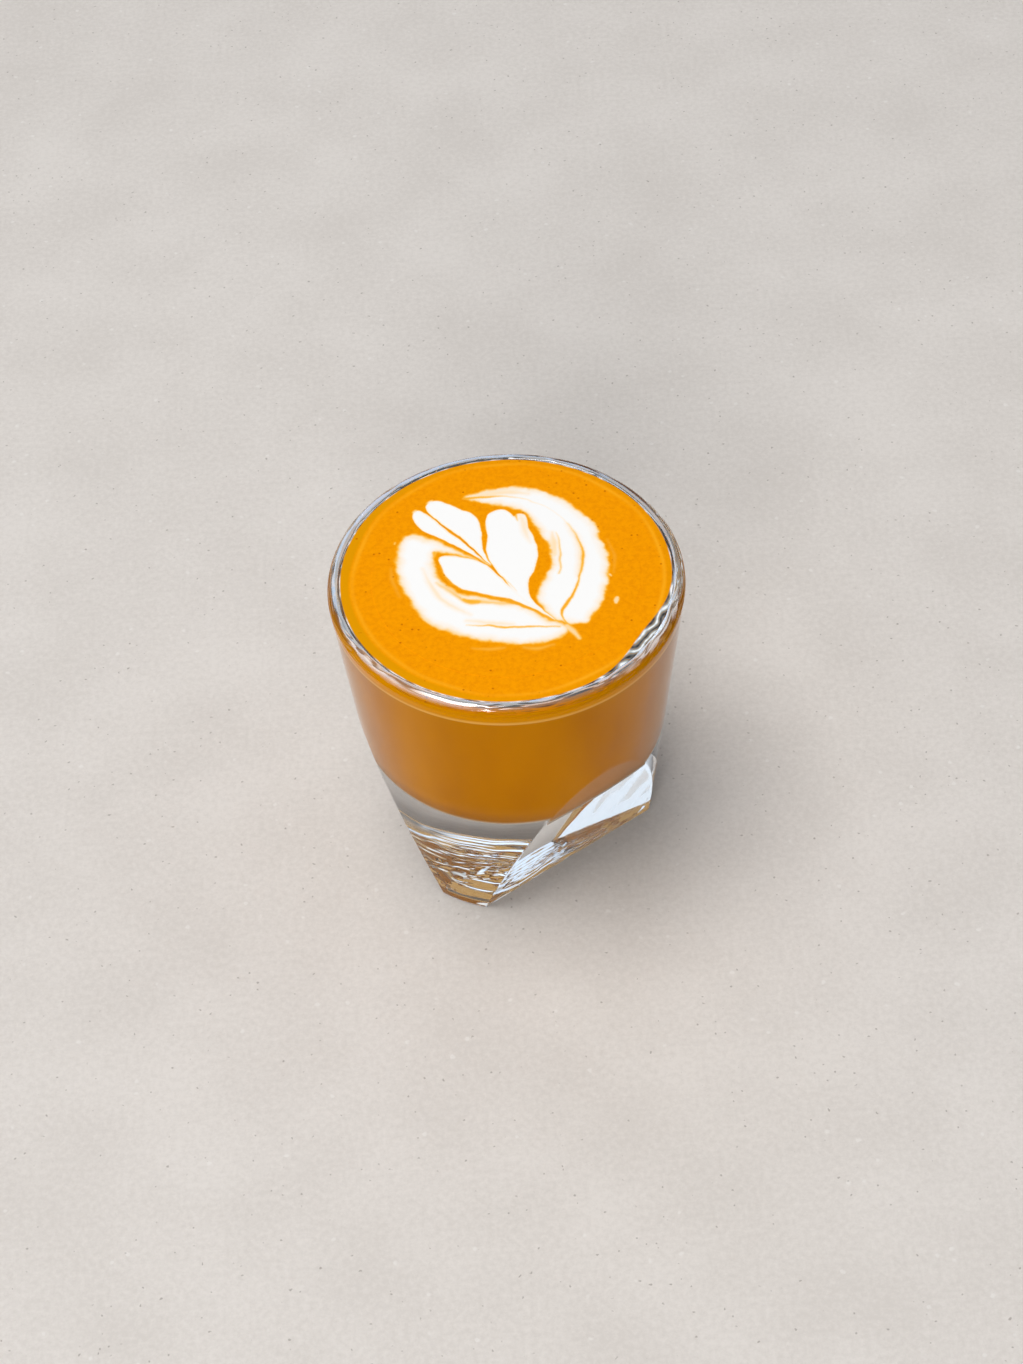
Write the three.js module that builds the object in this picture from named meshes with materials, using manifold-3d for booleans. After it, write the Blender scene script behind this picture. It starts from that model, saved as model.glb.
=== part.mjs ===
// A cortado in its glass: a thick tapered tumbler with three flat facets cut up from the foot,
// filled to the brim with coffee and milk, a golden crema and a poured fern of white milk foam.
// Millimetres, +Z up. The origin is on the axis at the foot, and the drinker's side is -Y.
import * as THREE from "three";
import { mergeVertices } from "three/addons/utils/BufferGeometryUtils.js";
import Module from "manifold-3d";

// Driving dimensions of the glass
const HEIGHT = 78.8;
const RIM_RADIUS = 39;
const FOOT_RADIUS = 30.8;
const LIP_OUTER_ROUND = 2.1;
const LIP_INNER_ROUND = 1.0;
const FACETS = 3;
const FACET_TURN = 34.1;
const FACET_FOOT_DISTANCE = 19.7;
const FACET_TOP = 46.7;
const CAVITY_FLOOR = 30;
const CAVITY_FLOOR_RADIUS = 22;
const CAVITY_CORNER_TOP = 38;
const CAVITY_CORNER_RADIUS = 29.2;

// Driving dimensions of the drink
const DRINK_TOP = 78.6;
const BRIM_EDGE_DROP = 0.35;
const CREMA_DEPTH = 4.1;
const FOAM_DEPTH = 1.0;
const GAP = 0.3;

// How finely round shapes are divided; the count round the glass is a multiple of four
const ROUND_STEPS = 72;
const ARC_STEPS = 6;
const LEAF_STEPS = 3;

// Sizes that follow from the driving dimensions
const SHOULDER = HEIGHT - LIP_OUTER_ROUND;
const LIP_TOP_RADIUS = RIM_RADIUS - LIP_OUTER_ROUND;
const CAVITY_RIM_RADIUS = LIP_TOP_RADIUS - LIP_INNER_ROUND;
const CAVITY_RIM_HEIGHT = HEIGHT - LIP_INNER_ROUND;
const CREMA_BASE = DRINK_TOP - CREMA_DEPTH;

const wasm = await Module();
wasm.setup();

/** A closed three.js geometry as a solid that can be joined and cut. */
function toSolid(geometry) {
  const bare = geometry.clone();
  bare.deleteAttribute("normal");
  bare.deleteAttribute("uv");
  const merged = mergeVertices(bare, 1e-4);
  const mesh = new wasm.Mesh({
    numProp: 3,
    vertProperties: new Float32Array(merged.attributes.position.array),
    triVerts: new Uint32Array(merged.index.array),
  });
  return new wasm.Manifold(mesh);
}

/** A solid back as a three.js geometry. */
function toGeometry(solid) {
  const mesh = solid.getMesh();
  const geometry = new THREE.BufferGeometry();
  geometry.setAttribute("position", new THREE.BufferAttribute(new Float32Array(mesh.vertProperties), 3));
  geometry.setIndex(new THREE.BufferAttribute(new Uint32Array(mesh.triVerts), 1));
  geometry.computeVertexNormals();
  return geometry;
}

/** Turns a profile of [radius, height] pairs about the Z axis. */
function revolve(profile) {
  const points = profile.map(([radius, height]) => new THREE.Vector2(radius, height));
  const geometry = new THREE.LatheGeometry(points, ROUND_STEPS);
  geometry.rotateX(Math.PI / 2);
  return geometry;
}

/** Points of an elliptical arc from one angle to another, both ends included. */
function arc(centre, reach, from, to, steps = ARC_STEPS) {
  return Array.from({ length: steps + 1 }, (_, i) => {
    const angle = THREE.MathUtils.degToRad(from + ((to - from) * i) / steps);
    return [centre[0] + reach[0] * Math.cos(angle), centre[1] + reach[1] * Math.sin(angle)];
  });
}

/** Outer radius of the plain cone at a height. */
function bodyRadius(height) {
  return FOOT_RADIUS + ((RIM_RADIUS - FOOT_RADIUS) * height) / SHOULDER;
}

/** Inner radius of the cavity's straight wall at a height above its rounded corner. */
function cavityRadius(height) {
  const share = (height - CAVITY_CORNER_TOP) / (CAVITY_RIM_HEIGHT - CAVITY_CORNER_TOP);
  return THREE.MathUtils.lerp(CAVITY_CORNER_RADIUS, CAVITY_RIM_RADIUS, share);
}

/** The cavity's rounded corner, from the floor up to the wall, moved in by a gap. */
function cavityCorner(gap) {
  const reach = [CAVITY_CORNER_RADIUS - CAVITY_FLOOR_RADIUS, CAVITY_CORNER_TOP - CAVITY_FLOOR];
  return arc([CAVITY_FLOOR_RADIUS, CAVITY_CORNER_TOP], [reach[0] - gap, reach[1] - gap], 270, 360);
}

/** The whole tumbler before its facets are cut: cone, rounded lip and cavity. */
function tumbler() {
  const outerLip = arc([LIP_TOP_RADIUS, SHOULDER], [LIP_OUTER_ROUND, LIP_OUTER_ROUND], 0, 90);
  const innerLip = arc([LIP_TOP_RADIUS, CAVITY_RIM_HEIGHT], [LIP_INNER_ROUND, LIP_INNER_ROUND], 90, 180, 4);
  return revolve([
    [0, 0],
    [FOOT_RADIUS, 0],
    ...outerLip,
    ...innerLip.slice(1),
    ...cavityCorner(0).reverse(),
    [0, CAVITY_FLOOR],
  ]);
}

/** A slanted block whose inner face is one facet plane, leaning outwards as it rises. */
function facetBlock(index) {
  const size = 4 * RIM_RADIUS;
  const lean = Math.atan((bodyRadius(FACET_TOP) - FACET_FOOT_DISTANCE) / FACET_TOP);
  const turn = THREE.MathUtils.degToRad(FACET_TURN - 90 + (360 / FACETS) * index);
  const block = new THREE.BoxGeometry(size, size, size);
  block.translate(size / 2, 0, 0);
  block.rotateY(lean);
  block.translate(FACET_FOOT_DISTANCE, 0, 0);
  block.rotateZ(turn);
  return block;
}

/** The glass: the tumbler with a flat facet cut off each of its three sides. */
function glassGeometry() {
  let solid = toSolid(tumbler());
  for (let index = 0; index < FACETS; index += 1) {
    solid = solid.subtract(toSolid(facetBlock(index)));
  }
  return toGeometry(solid);
}

/** The coffee and milk that fill the cavity up to the crema. */
function coffeeGeometry() {
  return revolve([
    [0, CAVITY_FLOOR + GAP],
    ...cavityCorner(GAP),
    [cavityRadius(CREMA_BASE - GAP) - GAP, CREMA_BASE - GAP],
    [0, CREMA_BASE - GAP],
  ]);
}

/** The crema disc, its upper edge rounded where the brimming drink meets the lip. */
function cremaDisc() {
  const lipReach = LIP_INNER_ROUND + GAP;
  const start = THREE.MathUtils.radToDeg(Math.asin((DRINK_TOP - BRIM_EDGE_DROP - CAVITY_RIM_HEIGHT) / lipReach));
  const besideLip = arc([LIP_TOP_RADIUS, CAVITY_RIM_HEIGHT], [lipReach, lipReach], 180, 180 - start, 3);
  const edge = besideLip[besideLip.length - 1];
  return revolve([
    [0, CREMA_BASE],
    [cavityRadius(CREMA_BASE) - GAP, CREMA_BASE],
    ...besideLip,
    [edge[0] - BRIM_EDGE_DROP, DRINK_TOP - BRIM_EDGE_DROP / 4],
    [edge[0] - 4 * BRIM_EDGE_DROP, DRINK_TOP],
    [0, DRINK_TOP],
  ]);
}

// Each leaf of the poured fern as the points its outline runs through, seen from above. The stem of
// the middle leaf and the tails of the others are drawn in to one place, at the drinker's right.
const LEAVES = {
  foam_heart: [
    [-1.6, 20.2], [0.2, 20.3], [1.6, 19.3], [2.6, 18.3], [3.5, 18.7], [4.6, 18.4], [5.2, 16.9], [5.5, 14.2],
    [6.4, 11.4], [7.1, 8.4], [7.0, 5.0], [6.1, 1.2], [4.8, -1.8], [4.7, -4.6], [5.7, -7.5], [7.9, -10.6],
    [10.1, -13.3], [9.7, -13.7], [6.6, -10.8], [2.4, -6.2], [0.2, -1.9], [-2.4, 2.6], [-3.8, 6.2], [-4.0, 9.0],
    [-3.6, 12.0], [-4.0, 15.6], [-3.4, 18.6],
  ],
  foam_leaf_left: [
    [-14.3, 6.0], [-12.2, 6.9], [-8.6, 6.0], [-5.4, 4.6], [-3.4, 2.6], [-1.2, -0.5], [1.4, -4.4], [4.6, -8.9],
    [8.4, -13.3], [8.0, -13.6], [4.4, -10.4], [1.0, -7.8], [-2.4, -6.3], [-6.4, -4.7], [-10.2, -2.9],
    [-12.8, -0.3], [-14.2, 2.9],
  ],
  foam_finger_upper: [
    [-16.9, 22.6], [-15.4, 24.1], [-13.0, 23.4], [-9.6, 21.1], [-6.9, 19.6], [-5.3, 16.4], [-4.9, 12.0],
    [-4.5, 8.0], [-3.2, 4.2], [-3.7, 4.0], [-6.0, 7.6], [-9.0, 11.8], [-12.4, 15.6], [-15.4, 19.0],
    [-16.7, 21.0],
  ],
  foam_finger_lower: [
    [-18.9, 21.2], [-17.2, 20.3], [-15.3, 18.2], [-12.7, 14.9], [-9.4, 11.2], [-6.2, 7.2], [-4.2, 4.5],
    [-4.7, 4.3], [-7.4, 6.9], [-11.0, 9.9], [-14.8, 12.9], [-17.6, 14.9], [-19.4, 17.4], [-20.0, 19.8],
  ],
  foam_wing_left_inner: [
    [-15.0, 1.2], [-13.7, -1.0], [-11.2, -3.8], [-7.0, -5.5], [-2.2, -7.0], [1.8, -8.4], [5.8, -11.0],
    [9.2, -14.0], [10.8, -14.7], [10.6, -15.2], [6.0, -15.1], [1.0, -15.0], [-4.0, -14.3], [-8.4, -13.4],
    [-11.9, -10.6], [-14.6, -6.6], [-15.9, -2.2],
  ],
  foam_wing_left: [
    [-20.4, 14.1], [-17.4, 13.0], [-13.6, 10.8], [-9.6, 7.9], [-6.6, 5.9], [-6.9, 5.5], [-9.4, 6.7],
    [-13.2, 7.8], [-15.2, 7.4], [-15.6, 5.2], [-15.3, 2.4], [-13.7, -1.0], [-11.2, -3.8], [-7.0, -5.5],
    [-2.2, -6.9], [1.8, -8.2], [5.8, -10.8], [9.3, -13.9], [11.8, -14.9], [12.6, -16.8], [10.2, -18.9],
    [5.0, -20.2], [0.0, -19.7], [-5.2, -18.5], [-10.0, -17.2], [-13.2, -15.0], [-16.8, -13.2], [-19.8, -8.6],
    [-22.0, -3.6], [-23.5, 1.8], [-23.6, 7.4], [-22.9, 11.6],
  ],
  foam_wing_right_inner: [
    [-4.0, 24.0], [0.0, 24.0], [4.0, 23.3], [8.0, 21.4], [11.6, 18.4], [14.6, 14.0], [16.5, 9.4], [17.0, 4.6],
    [16.0, -1.0], [14.6, -5.6], [12.4, -9.6], [11.4, -13.4], [10.8, -13.5], [8.4, -10.5], [7.0, -7.2],
    [7.2, -3.9], [8.4, -0.9], [10.2, 3.0], [10.0, 7.6], [8.4, 11.8], [6.5, 16.0], [4.2, 19.5], [0.6, 21.3],
    [-4.2, 22.9],
  ],
  foam_wing_right: [
    [-8.6, 24.6], [-4.6, 26.2], [0.6, 27.1], [5.4, 26.9], [9.2, 25.3], [13.4, 22.6], [16.8, 18.6],
    [20.0, 14.4], [20.9, 9.6], [22.3, 4.8], [22.1, -1.4], [21.0, -7.2], [18.6, -12.2], [16.4, -15.0],
    [13.6, -15.0], [12.2, -13.6], [12.9, -9.6], [14.8, -5.6], [16.2, -1.0], [17.2, 4.6], [16.7, 9.4],
    [14.8, 14.2], [11.8, 18.6], [8.2, 21.6], [4.0, 23.5], [0.0, 24.2], [-4.6, 24.1], [-8.3, 24.1],
  ],
};

/** The outline of a leaf, eased through its points and moved out all round by an amount. */
function leafOutline(points, widen) {
  const places = points.map(([x, y]) => new THREE.Vector3(x, y, 0));
  const curve = new THREE.CatmullRomCurve3(places, true, "centripetal");
  const count = points.length * LEAF_STEPS;
  return Array.from({ length: count }, (_, step) => {
    const share = step / count;
    const along = curve.getTangent(share);
    return curve.getPoint(share).add(new THREE.Vector3(-along.y, along.x, 0).multiplyScalar(widen));
  });
}

/** A leaf as an upright prism between two heights. */
function leafSolid(leaf, widen, bottom, top) {
  const outline = leafOutline(leaf, widen).map(({ x, y }) => new THREE.Vector2(x, y));
  const depth = top - bottom;
  const prism = new THREE.ExtrudeGeometry(new THREE.Shape(outline), { depth, bevelEnabled: false, steps: 1 });
  prism.translate(0, 0, bottom);
  return toSolid(prism);
}

/** The foam leaves, each clear of those before it, and the crema with a pocket under each. */
function foamAndCrema() {
  const foam = {};
  let crema = toSolid(cremaDisc());
  let taken = null;
  for (const [name, leaf] of Object.entries(LEAVES)) {
    const solid = leafSolid(leaf, 0, DRINK_TOP - FOAM_DEPTH, DRINK_TOP);
    foam[name] = taken ? solid.subtract(taken) : solid;
    const pocket = leafSolid(leaf, GAP, DRINK_TOP - FOAM_DEPTH - GAP, DRINK_TOP + GAP);
    taken = taken ? taken.add(pocket) : pocket;
  }
  crema = crema.subtract(taken);
  return { foam, crema };
}

const glassFinish = new THREE.MeshStandardMaterial({
  color: 0xe4edf0,
  roughness: 0.03,
  metalness: 0,
  transparent: true,
  opacity: 0.35,
});
const coffeeFinish = new THREE.MeshStandardMaterial({ color: 0xb0700f, roughness: 0.35, metalness: 0 });
const cremaFinish = new THREE.MeshStandardMaterial({ color: 0xf29a06, roughness: 0.3, metalness: 0 });
const foamFinish = new THREE.MeshStandardMaterial({ color: 0xfbf8f3, roughness: 0.45, metalness: 0 });

/** A named mesh. */
function piece(name, geometry, finish) {
  const mesh = new THREE.Mesh(geometry, finish);
  mesh.name = name;
  return mesh;
}

const cortado = new THREE.Group();
cortado.add(piece("glass", glassGeometry(), glassFinish));
cortado.add(piece("coffee", coffeeGeometry(), coffeeFinish));
const { foam, crema } = foamAndCrema();
cortado.add(piece("crema", toGeometry(crema), cremaFinish));
for (const [name, solid] of Object.entries(foam)) {
  cortado.add(piece(name, toGeometry(solid), foamFinish));
}

export default cortado;
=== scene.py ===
"""Dresses a packed cortado: a clear faceted tumbler, milky coffee, golden crema and a poured fern of foam.

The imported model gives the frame. Shapes are worked out in millimetres on numpy grids and scaled once, by MM,
into the frame's metres. Finishes are in metres, as their coordinates are. +Z is up, the origin is at the
glass's foot, and the drinker's side is -Y.
"""

import logging
import math
from dataclasses import dataclass
from enum import Enum

import bpy
import numpy as np
from mathutils import Matrix, Vector


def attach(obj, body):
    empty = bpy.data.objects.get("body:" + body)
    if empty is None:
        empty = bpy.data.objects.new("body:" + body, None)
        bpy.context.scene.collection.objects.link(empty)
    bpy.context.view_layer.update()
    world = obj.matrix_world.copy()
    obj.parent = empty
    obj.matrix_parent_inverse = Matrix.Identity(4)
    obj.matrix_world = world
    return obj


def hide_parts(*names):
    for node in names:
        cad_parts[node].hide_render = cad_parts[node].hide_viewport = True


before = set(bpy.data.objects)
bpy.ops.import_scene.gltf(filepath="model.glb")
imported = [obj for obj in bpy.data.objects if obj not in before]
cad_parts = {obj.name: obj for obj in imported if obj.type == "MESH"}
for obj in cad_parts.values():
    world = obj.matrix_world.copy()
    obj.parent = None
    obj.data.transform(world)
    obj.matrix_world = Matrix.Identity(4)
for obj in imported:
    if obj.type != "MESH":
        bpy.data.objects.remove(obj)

MM = 0.001
FAR = 1e3
ROOT = "root"
WAVES = 7
WAVE_LENGTHS = (0.6, 1.5)
RAMP_PER_METRE = 10.0
log = logging.getLogger("cortado")

Span = tuple[float, float]
Colour = tuple[float, float, float]
Points = list[tuple[float, ...]]
Stops = list[tuple[float, Colour | float]]
Band = tuple[np.ndarray, np.ndarray, np.ndarray]
Node = bpy.types.Node
Socket = bpy.types.NodeSocket


def smooth_step(low: float, high: float, value: np.ndarray) -> np.ndarray:
    """Rises from 0 to 1 between low and high, level at both ends.

    Args:
        low: where the rise starts.
        high: where it ends.
        value: the values to map.

    Returns:
        3t^2 - 2t^3, where t is how far each value lies from low to high, held to 0..1.
    """
    t = np.clip((value - low) / (high - low), 0.0, 1.0)
    return t * t * (3.0 - 2.0 * t)


def smooth_min(a: np.ndarray, b: np.ndarray, width: float) -> np.ndarray:
    """The smaller of two fields, rounded over where they differ by less than a width.

    Args:
        a: the first field.
        b: the second field.
        width: how far apart the fields may be and still be rounded.

    Returns:
        min(a, b) less h^2 width / 4, where h is how much of the width the difference leaves.
    """
    h = np.maximum(width - np.abs(a - b), 0.0) / width
    return np.minimum(a, b) - h * h * width / 4.0


def ease_curve(points: Points | np.ndarray, closed: bool, steps: int) -> np.ndarray:
    """A Catmull-Rom curve through points of any dimension.

    Args:
        points: what the curve passes through.
        closed: whether the last point joins the first.
        steps: how many samples each span takes.

    Returns:
        The samples, one row each; on every span the cubic whose ends have half the chord of their neighbours
        as their slope.
    """
    p = np.asarray(points, float)
    if closed:
        a, b, c, d = (np.roll(p, shift, axis=0) for shift in (1, 0, -1, -2))
    else:
        longer = np.vstack([2 * p[0] - p[1], p, 2 * p[-1] - p[-2]])
        a, b, c, d = longer[:-3], longer[1:-2], longer[2:-1], longer[3:]
    t = (np.arange(steps) / steps)[None, :, None]
    a, b, c, d = (v[:, None, :] for v in (a, b, c, d))
    square, cube = 2 * a - 5 * b + 4 * c - d, 3 * b - a - 3 * c + d
    flat = (0.5 * (2 * b + (c - a) * t + square * t**2 + cube * t**3)).reshape(-1, p.shape[1])
    return flat if closed else np.vstack([flat, p[-1:]])


def grid_piece(name: str, grid: np.ndarray, fields: dict[str, np.ndarray] | None = None) -> bpy.types.Object:
    """A closed mesh from rows of points that run all the way round the axis.

    Args:
        name: the piece's name.
        grid: rows by columns by 3, in millimetres; the first and last rows are drawn in to a pole each.
        fields: named values, rows by columns, kept as point attributes.

    Returns:
        The new object at the origin, smooth, with its faces pointing outwards.
    """
    rows, columns = grid.shape[:2]
    poles = np.stack([grid[0].mean(axis=0), grid[-1].mean(axis=0)])
    points = np.vstack([grid.reshape(-1, 3), poles])
    row, column = np.meshgrid(np.arange(rows - 1), np.arange(columns), indexing="ij")
    beside = (column + 1) % columns
    quads = np.stack([row * columns + column, row * columns + beside, (row + 1) * columns + beside,
                      (row + 1) * columns + column], axis=-1).reshape(-1, 4)
    around = np.arange(columns)
    after = (around + 1) % columns
    last = (rows - 1) * columns
    first_fan = np.stack([after, around, np.full(columns, rows * columns)], axis=-1)
    last_fan = np.stack([last + around, last + after, np.full(columns, rows * columns + 1)], axis=-1)
    fans = np.vstack([first_fan, last_fan])
    if shell_volume(points, quads, fans) < 0.0:
        quads, fans = quads[:, ::-1], fans[:, ::-1]
    mesh = bpy.data.meshes.new(name)
    mesh.vertices.add(len(points))
    mesh.vertices.foreach_set("co", (points * MM).astype(np.float32).ravel())
    corners = np.concatenate([quads.ravel(), fans.ravel()])
    sizes = np.concatenate([np.full(len(quads), 4), np.full(len(fans), 3)])
    mesh.loops.add(len(corners))
    mesh.loops.foreach_set("vertex_index", corners.astype(np.int32))
    mesh.polygons.add(len(sizes))
    mesh.polygons.foreach_set("loop_start", (np.cumsum(sizes) - sizes).astype(np.int32))
    mesh.polygons.foreach_set("use_smooth", np.ones(len(sizes), bool))
    for field_name, values in (fields or {}).items():
        whole = np.concatenate([values.ravel(), [values[0].mean(), values[-1].mean()]]).astype(np.float32)
        mesh.attributes.new(field_name, "FLOAT", "POINT").data.foreach_set("value", whole)
    mesh.update(calc_edges=True)
    mesh.validate()
    piece = bpy.data.objects.new(name, mesh)
    bpy.context.scene.collection.objects.link(piece)
    return piece


def shell_volume(points: np.ndarray, quads: np.ndarray, fans: np.ndarray) -> float:
    """Volume inside a closed shell, negative where its faces point inwards.

    Args:
        points: the corners.
        quads: four corner numbers a face.
        fans: three corner numbers a face.

    Returns:
        The sum over all triangles of the box product of their corners, divided by six.
    """
    triangles = np.vstack([quads[:, [0, 1, 2]], quads[:, [0, 2, 3]], fans])
    a, b, c = (points[triangles[:, i]] for i in range(3))
    return float(np.einsum("ij,ij->i", a, np.cross(b, c)).sum() / 6.0)


def arc_profile(centre: Span, reach: Span, start: float, end: float, steps: int) -> np.ndarray:
    """Points of an elliptical arc in the plane of radius and height.

    Args:
        centre: the arc's centre.
        reach: its half widths along radius and height.
        start: first angle in degrees.
        end: last angle in degrees.
        steps: how many spans it is divided into.

    Returns:
        Pairs of radius and height.
    """
    angle = np.radians(np.linspace(start, end, steps + 1))
    return np.stack([centre[0] + reach[0] * np.cos(angle), centre[1] + reach[1] * np.sin(angle)], axis=-1)


def level_rows(radius: float, shares: tuple[float, ...], height: float) -> np.ndarray:
    """Level rows at shares of a radius, as pairs of radius and height."""
    return np.stack([radius * np.array(shares), np.full(len(shares), height)], axis=-1)


@dataclass(frozen=True)
class Waviness:
    """Smooth, endless unevenness: how strong it is, the rough distance between its crests, and its seed."""

    strength: float
    wavelength: float
    seed: int

    def at(self, x: np.ndarray, y: np.ndarray) -> np.ndarray:
        """Its value at each point.

        Args:
            x: first coordinate.
            y: second coordinate.

        Returns:
            The strength times the sum of a few sine waves over half their number; the waves run in random
            directions with random phases and lengths.
        """
        draw = np.random.default_rng(self.seed)
        total = np.zeros(np.broadcast(x, y).shape)
        for _ in range(WAVES):
            turn, phase = draw.uniform(0.0, 2.0 * math.pi, 2)
            length = self.wavelength * draw.uniform(*WAVE_LENGTHS)
            along = x * math.cos(turn) + y * math.sin(turn)
            total = total + np.sin(2.0 * math.pi * along / length + phase)
        return self.strength * (total / (WAVES / 2.0))


@dataclass(frozen=True)
class GlassForm:
    """The tumbler's sizes in millimetres, as in the part's source, and the curves that follow from them."""

    height: float = 78.8
    rim_radius: float = 39.0
    foot_radius: float = 30.8
    lip_outer_round: float = 2.1
    lip_inner_round: float = 1.0
    facets: int = 3
    facet_turn: float = 34.1
    facet_foot_distance: float = 19.7
    facet_top: float = 46.7
    cavity_floor: float = 30.0
    cavity_floor_radius: float = 22.0
    cavity_corner_top: float = 38.0
    cavity_corner_radius: float = 29.2
    corner_steps: int = 16

    @property
    def shoulder(self) -> float:
        """Height at which the cone ends and the rounded lip begins."""
        return self.height - self.lip_outer_round

    @property
    def lip_top_radius(self) -> float:
        """Radius of the lip's highest circle."""
        return self.rim_radius - self.lip_outer_round

    @property
    def cavity_rim_radius(self) -> float:
        """Radius at which the lip's inner round meets the cavity's wall."""
        return self.lip_top_radius - self.lip_inner_round

    @property
    def cavity_rim_height(self) -> float:
        """Height at which the lip's inner round meets the cavity's wall."""
        return self.height - self.lip_inner_round

    def body_radius(self, height: np.ndarray | float) -> np.ndarray | float:
        """Radius of the plain cone at a height."""
        return self.foot_radius + (self.rim_radius - self.foot_radius) * height / self.shoulder

    def facet_distance(self, height: np.ndarray | float) -> np.ndarray | float:
        """How far a facet's plane stands from the axis at a height."""
        top = self.body_radius(self.facet_top)
        return self.facet_foot_distance + (top - self.facet_foot_distance) * height / self.facet_top

    def facet_angles(self) -> np.ndarray:
        """Directions in which the facets face, in radians from +X."""
        return np.radians(self.facet_turn - 90.0 + 360.0 / self.facets * np.arange(self.facets))

    def facet_reach(self, height: np.ndarray) -> np.ndarray:
        """Half the angle that a facet takes up: the arc cosine of its distance over the radius."""
        ratio = self.facet_distance(height) / self.body_radius(height)
        return np.arccos(np.clip(ratio, -1.0, 1.0))

    def cavity_wall(self, steps: int = 1) -> np.ndarray:
        """The cavity's profile from under the lip down its straight wall and round its corner to the floor.

        Args:
            steps: how many spans the straight wall is divided into.

        Returns:
            Pairs of radius and height.
        """
        top = np.array([self.cavity_rim_radius, self.cavity_rim_height])
        low = np.array([self.cavity_corner_radius, self.cavity_corner_top])
        share = np.linspace(0.0, 1.0, steps + 1)[:, None]
        reach = (low[0] - self.cavity_floor_radius, low[1] - self.cavity_floor)
        corner = arc_profile((self.cavity_floor_radius, low[1]), reach, 0.0, -90.0, self.corner_steps)
        return np.vstack([top + (low - top) * share, corner[1:]])

    def cavity_radius(self, height: np.ndarray) -> np.ndarray:
        """Radius of the cavity at heights between its floor and the lip."""
        wall = self.cavity_wall()[::-1]
        return np.interp(height, wall[:, 1], wall[:, 0])


class NodeSheet:
    """The node tree of a material or of the world, written one node at a time."""

    def __init__(self, owner: bpy.types.Material | bpy.types.World) -> None:
        """Starts with an empty tree.

        Args:
            owner: the material or the world that the tree belongs to.
        """
        owner.use_nodes = True
        self.tree = owner.node_tree
        self.tree.nodes.clear()

    def add(self, kind: str, values: dict[str, object] | None = None, **settings: object) -> Node:
        """Adds a node.

        Args:
            kind: the node's type.
            values: values of its input sockets.
            settings: values of its own properties.

        Returns:
            The node.
        """
        node = self.tree.nodes.new(kind)
        for key, value in settings.items():
            setattr(node, key, value)
        for key, value in (values or {}).items():
            node.inputs[key].default_value = value
        return node

    def join(self, out: Socket, node: Node, into: str | int) -> Node:
        """Joins an output to a named input of a node, and returns the node."""
        self.tree.links.new(out, node.inputs[into])
        return node

    def rise(self, value: Socket, start: float, end: float, to: Span = (0.0, 1.0),
             kind: str = "LINEAR") -> Socket:
        """A value that runs from one number to another and stays level beyond both.

        Args:
            value: what drives it.
            start: where it has the first number.
            end: where it has the second.
            to: both numbers.
            kind: how it runs between them.

        Returns:
            The result.
        """
        limits = {"From Min": start, "From Max": end, "To Min": to[0], "To Max": to[1]}
        node = self.add("ShaderNodeMapRange", limits, interpolation_type=kind)
        return self.join(value, node, "Value").outputs["Result"]

    def ramp(self, factor: Socket, stops: Stops) -> Socket:
        """A colour ramp.

        Args:
            factor: what drives it.
            stops: positions with a colour or a grey each.

        Returns:
            Its colour.
        """
        node = self.join(factor, self.add("ShaderNodeValToRGB"), "Fac")
        elements = node.color_ramp.elements
        while len(elements) < len(stops):
            elements.new(0.5)
        for element, (position, tone) in zip(elements, stops):
            element.position = position
            element.color = (*(tone if isinstance(tone, tuple) else (tone,) * 3), 1.0)
        return node.outputs["Color"]

    def math(self, operation: str, *terms: Socket | float, clamp: bool = False) -> Socket:
        """One sum on values.

        Args:
            operation: the Math node's operation.
            terms: sockets or plain numbers.
            clamp: whether the result is held to 0..1.

        Returns:
            The result.
        """
        node = self.add("ShaderNodeMath", operation=operation, use_clamp=clamp)
        for index, term in enumerate(terms):
            if isinstance(term, Socket):
                self.join(term, node, index)
            else:
                node.inputs[index].default_value = term
        return node.outputs["Value"]

    def blend(self, factor: Socket, first: Socket, second: Socket | Colour) -> Socket:
        """Mixes two colours.

        Args:
            factor: how much of the second.
            first: the first colour.
            second: the second colour.

        Returns:
            The mixed colour.
        """
        node = self.add("ShaderNodeMix", data_type="RGBA")
        self.join(factor, node, 0)
        self.join(first, node, 6)
        if isinstance(second, Socket):
            self.join(second, node, 7)
        else:
            node.inputs[7].default_value = (*second, 1.0)
        return node.outputs[2]

    def mix(self, factor: Socket, first: Node, second: Node) -> Node:
        """Mixes two shaders; the factor says how much of the second."""
        node = self.add("ShaderNodeMixShader")
        for index, socket in enumerate((factor, first.outputs[0], second.outputs[0])):
            self.join(socket, node, index)
        return node


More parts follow.
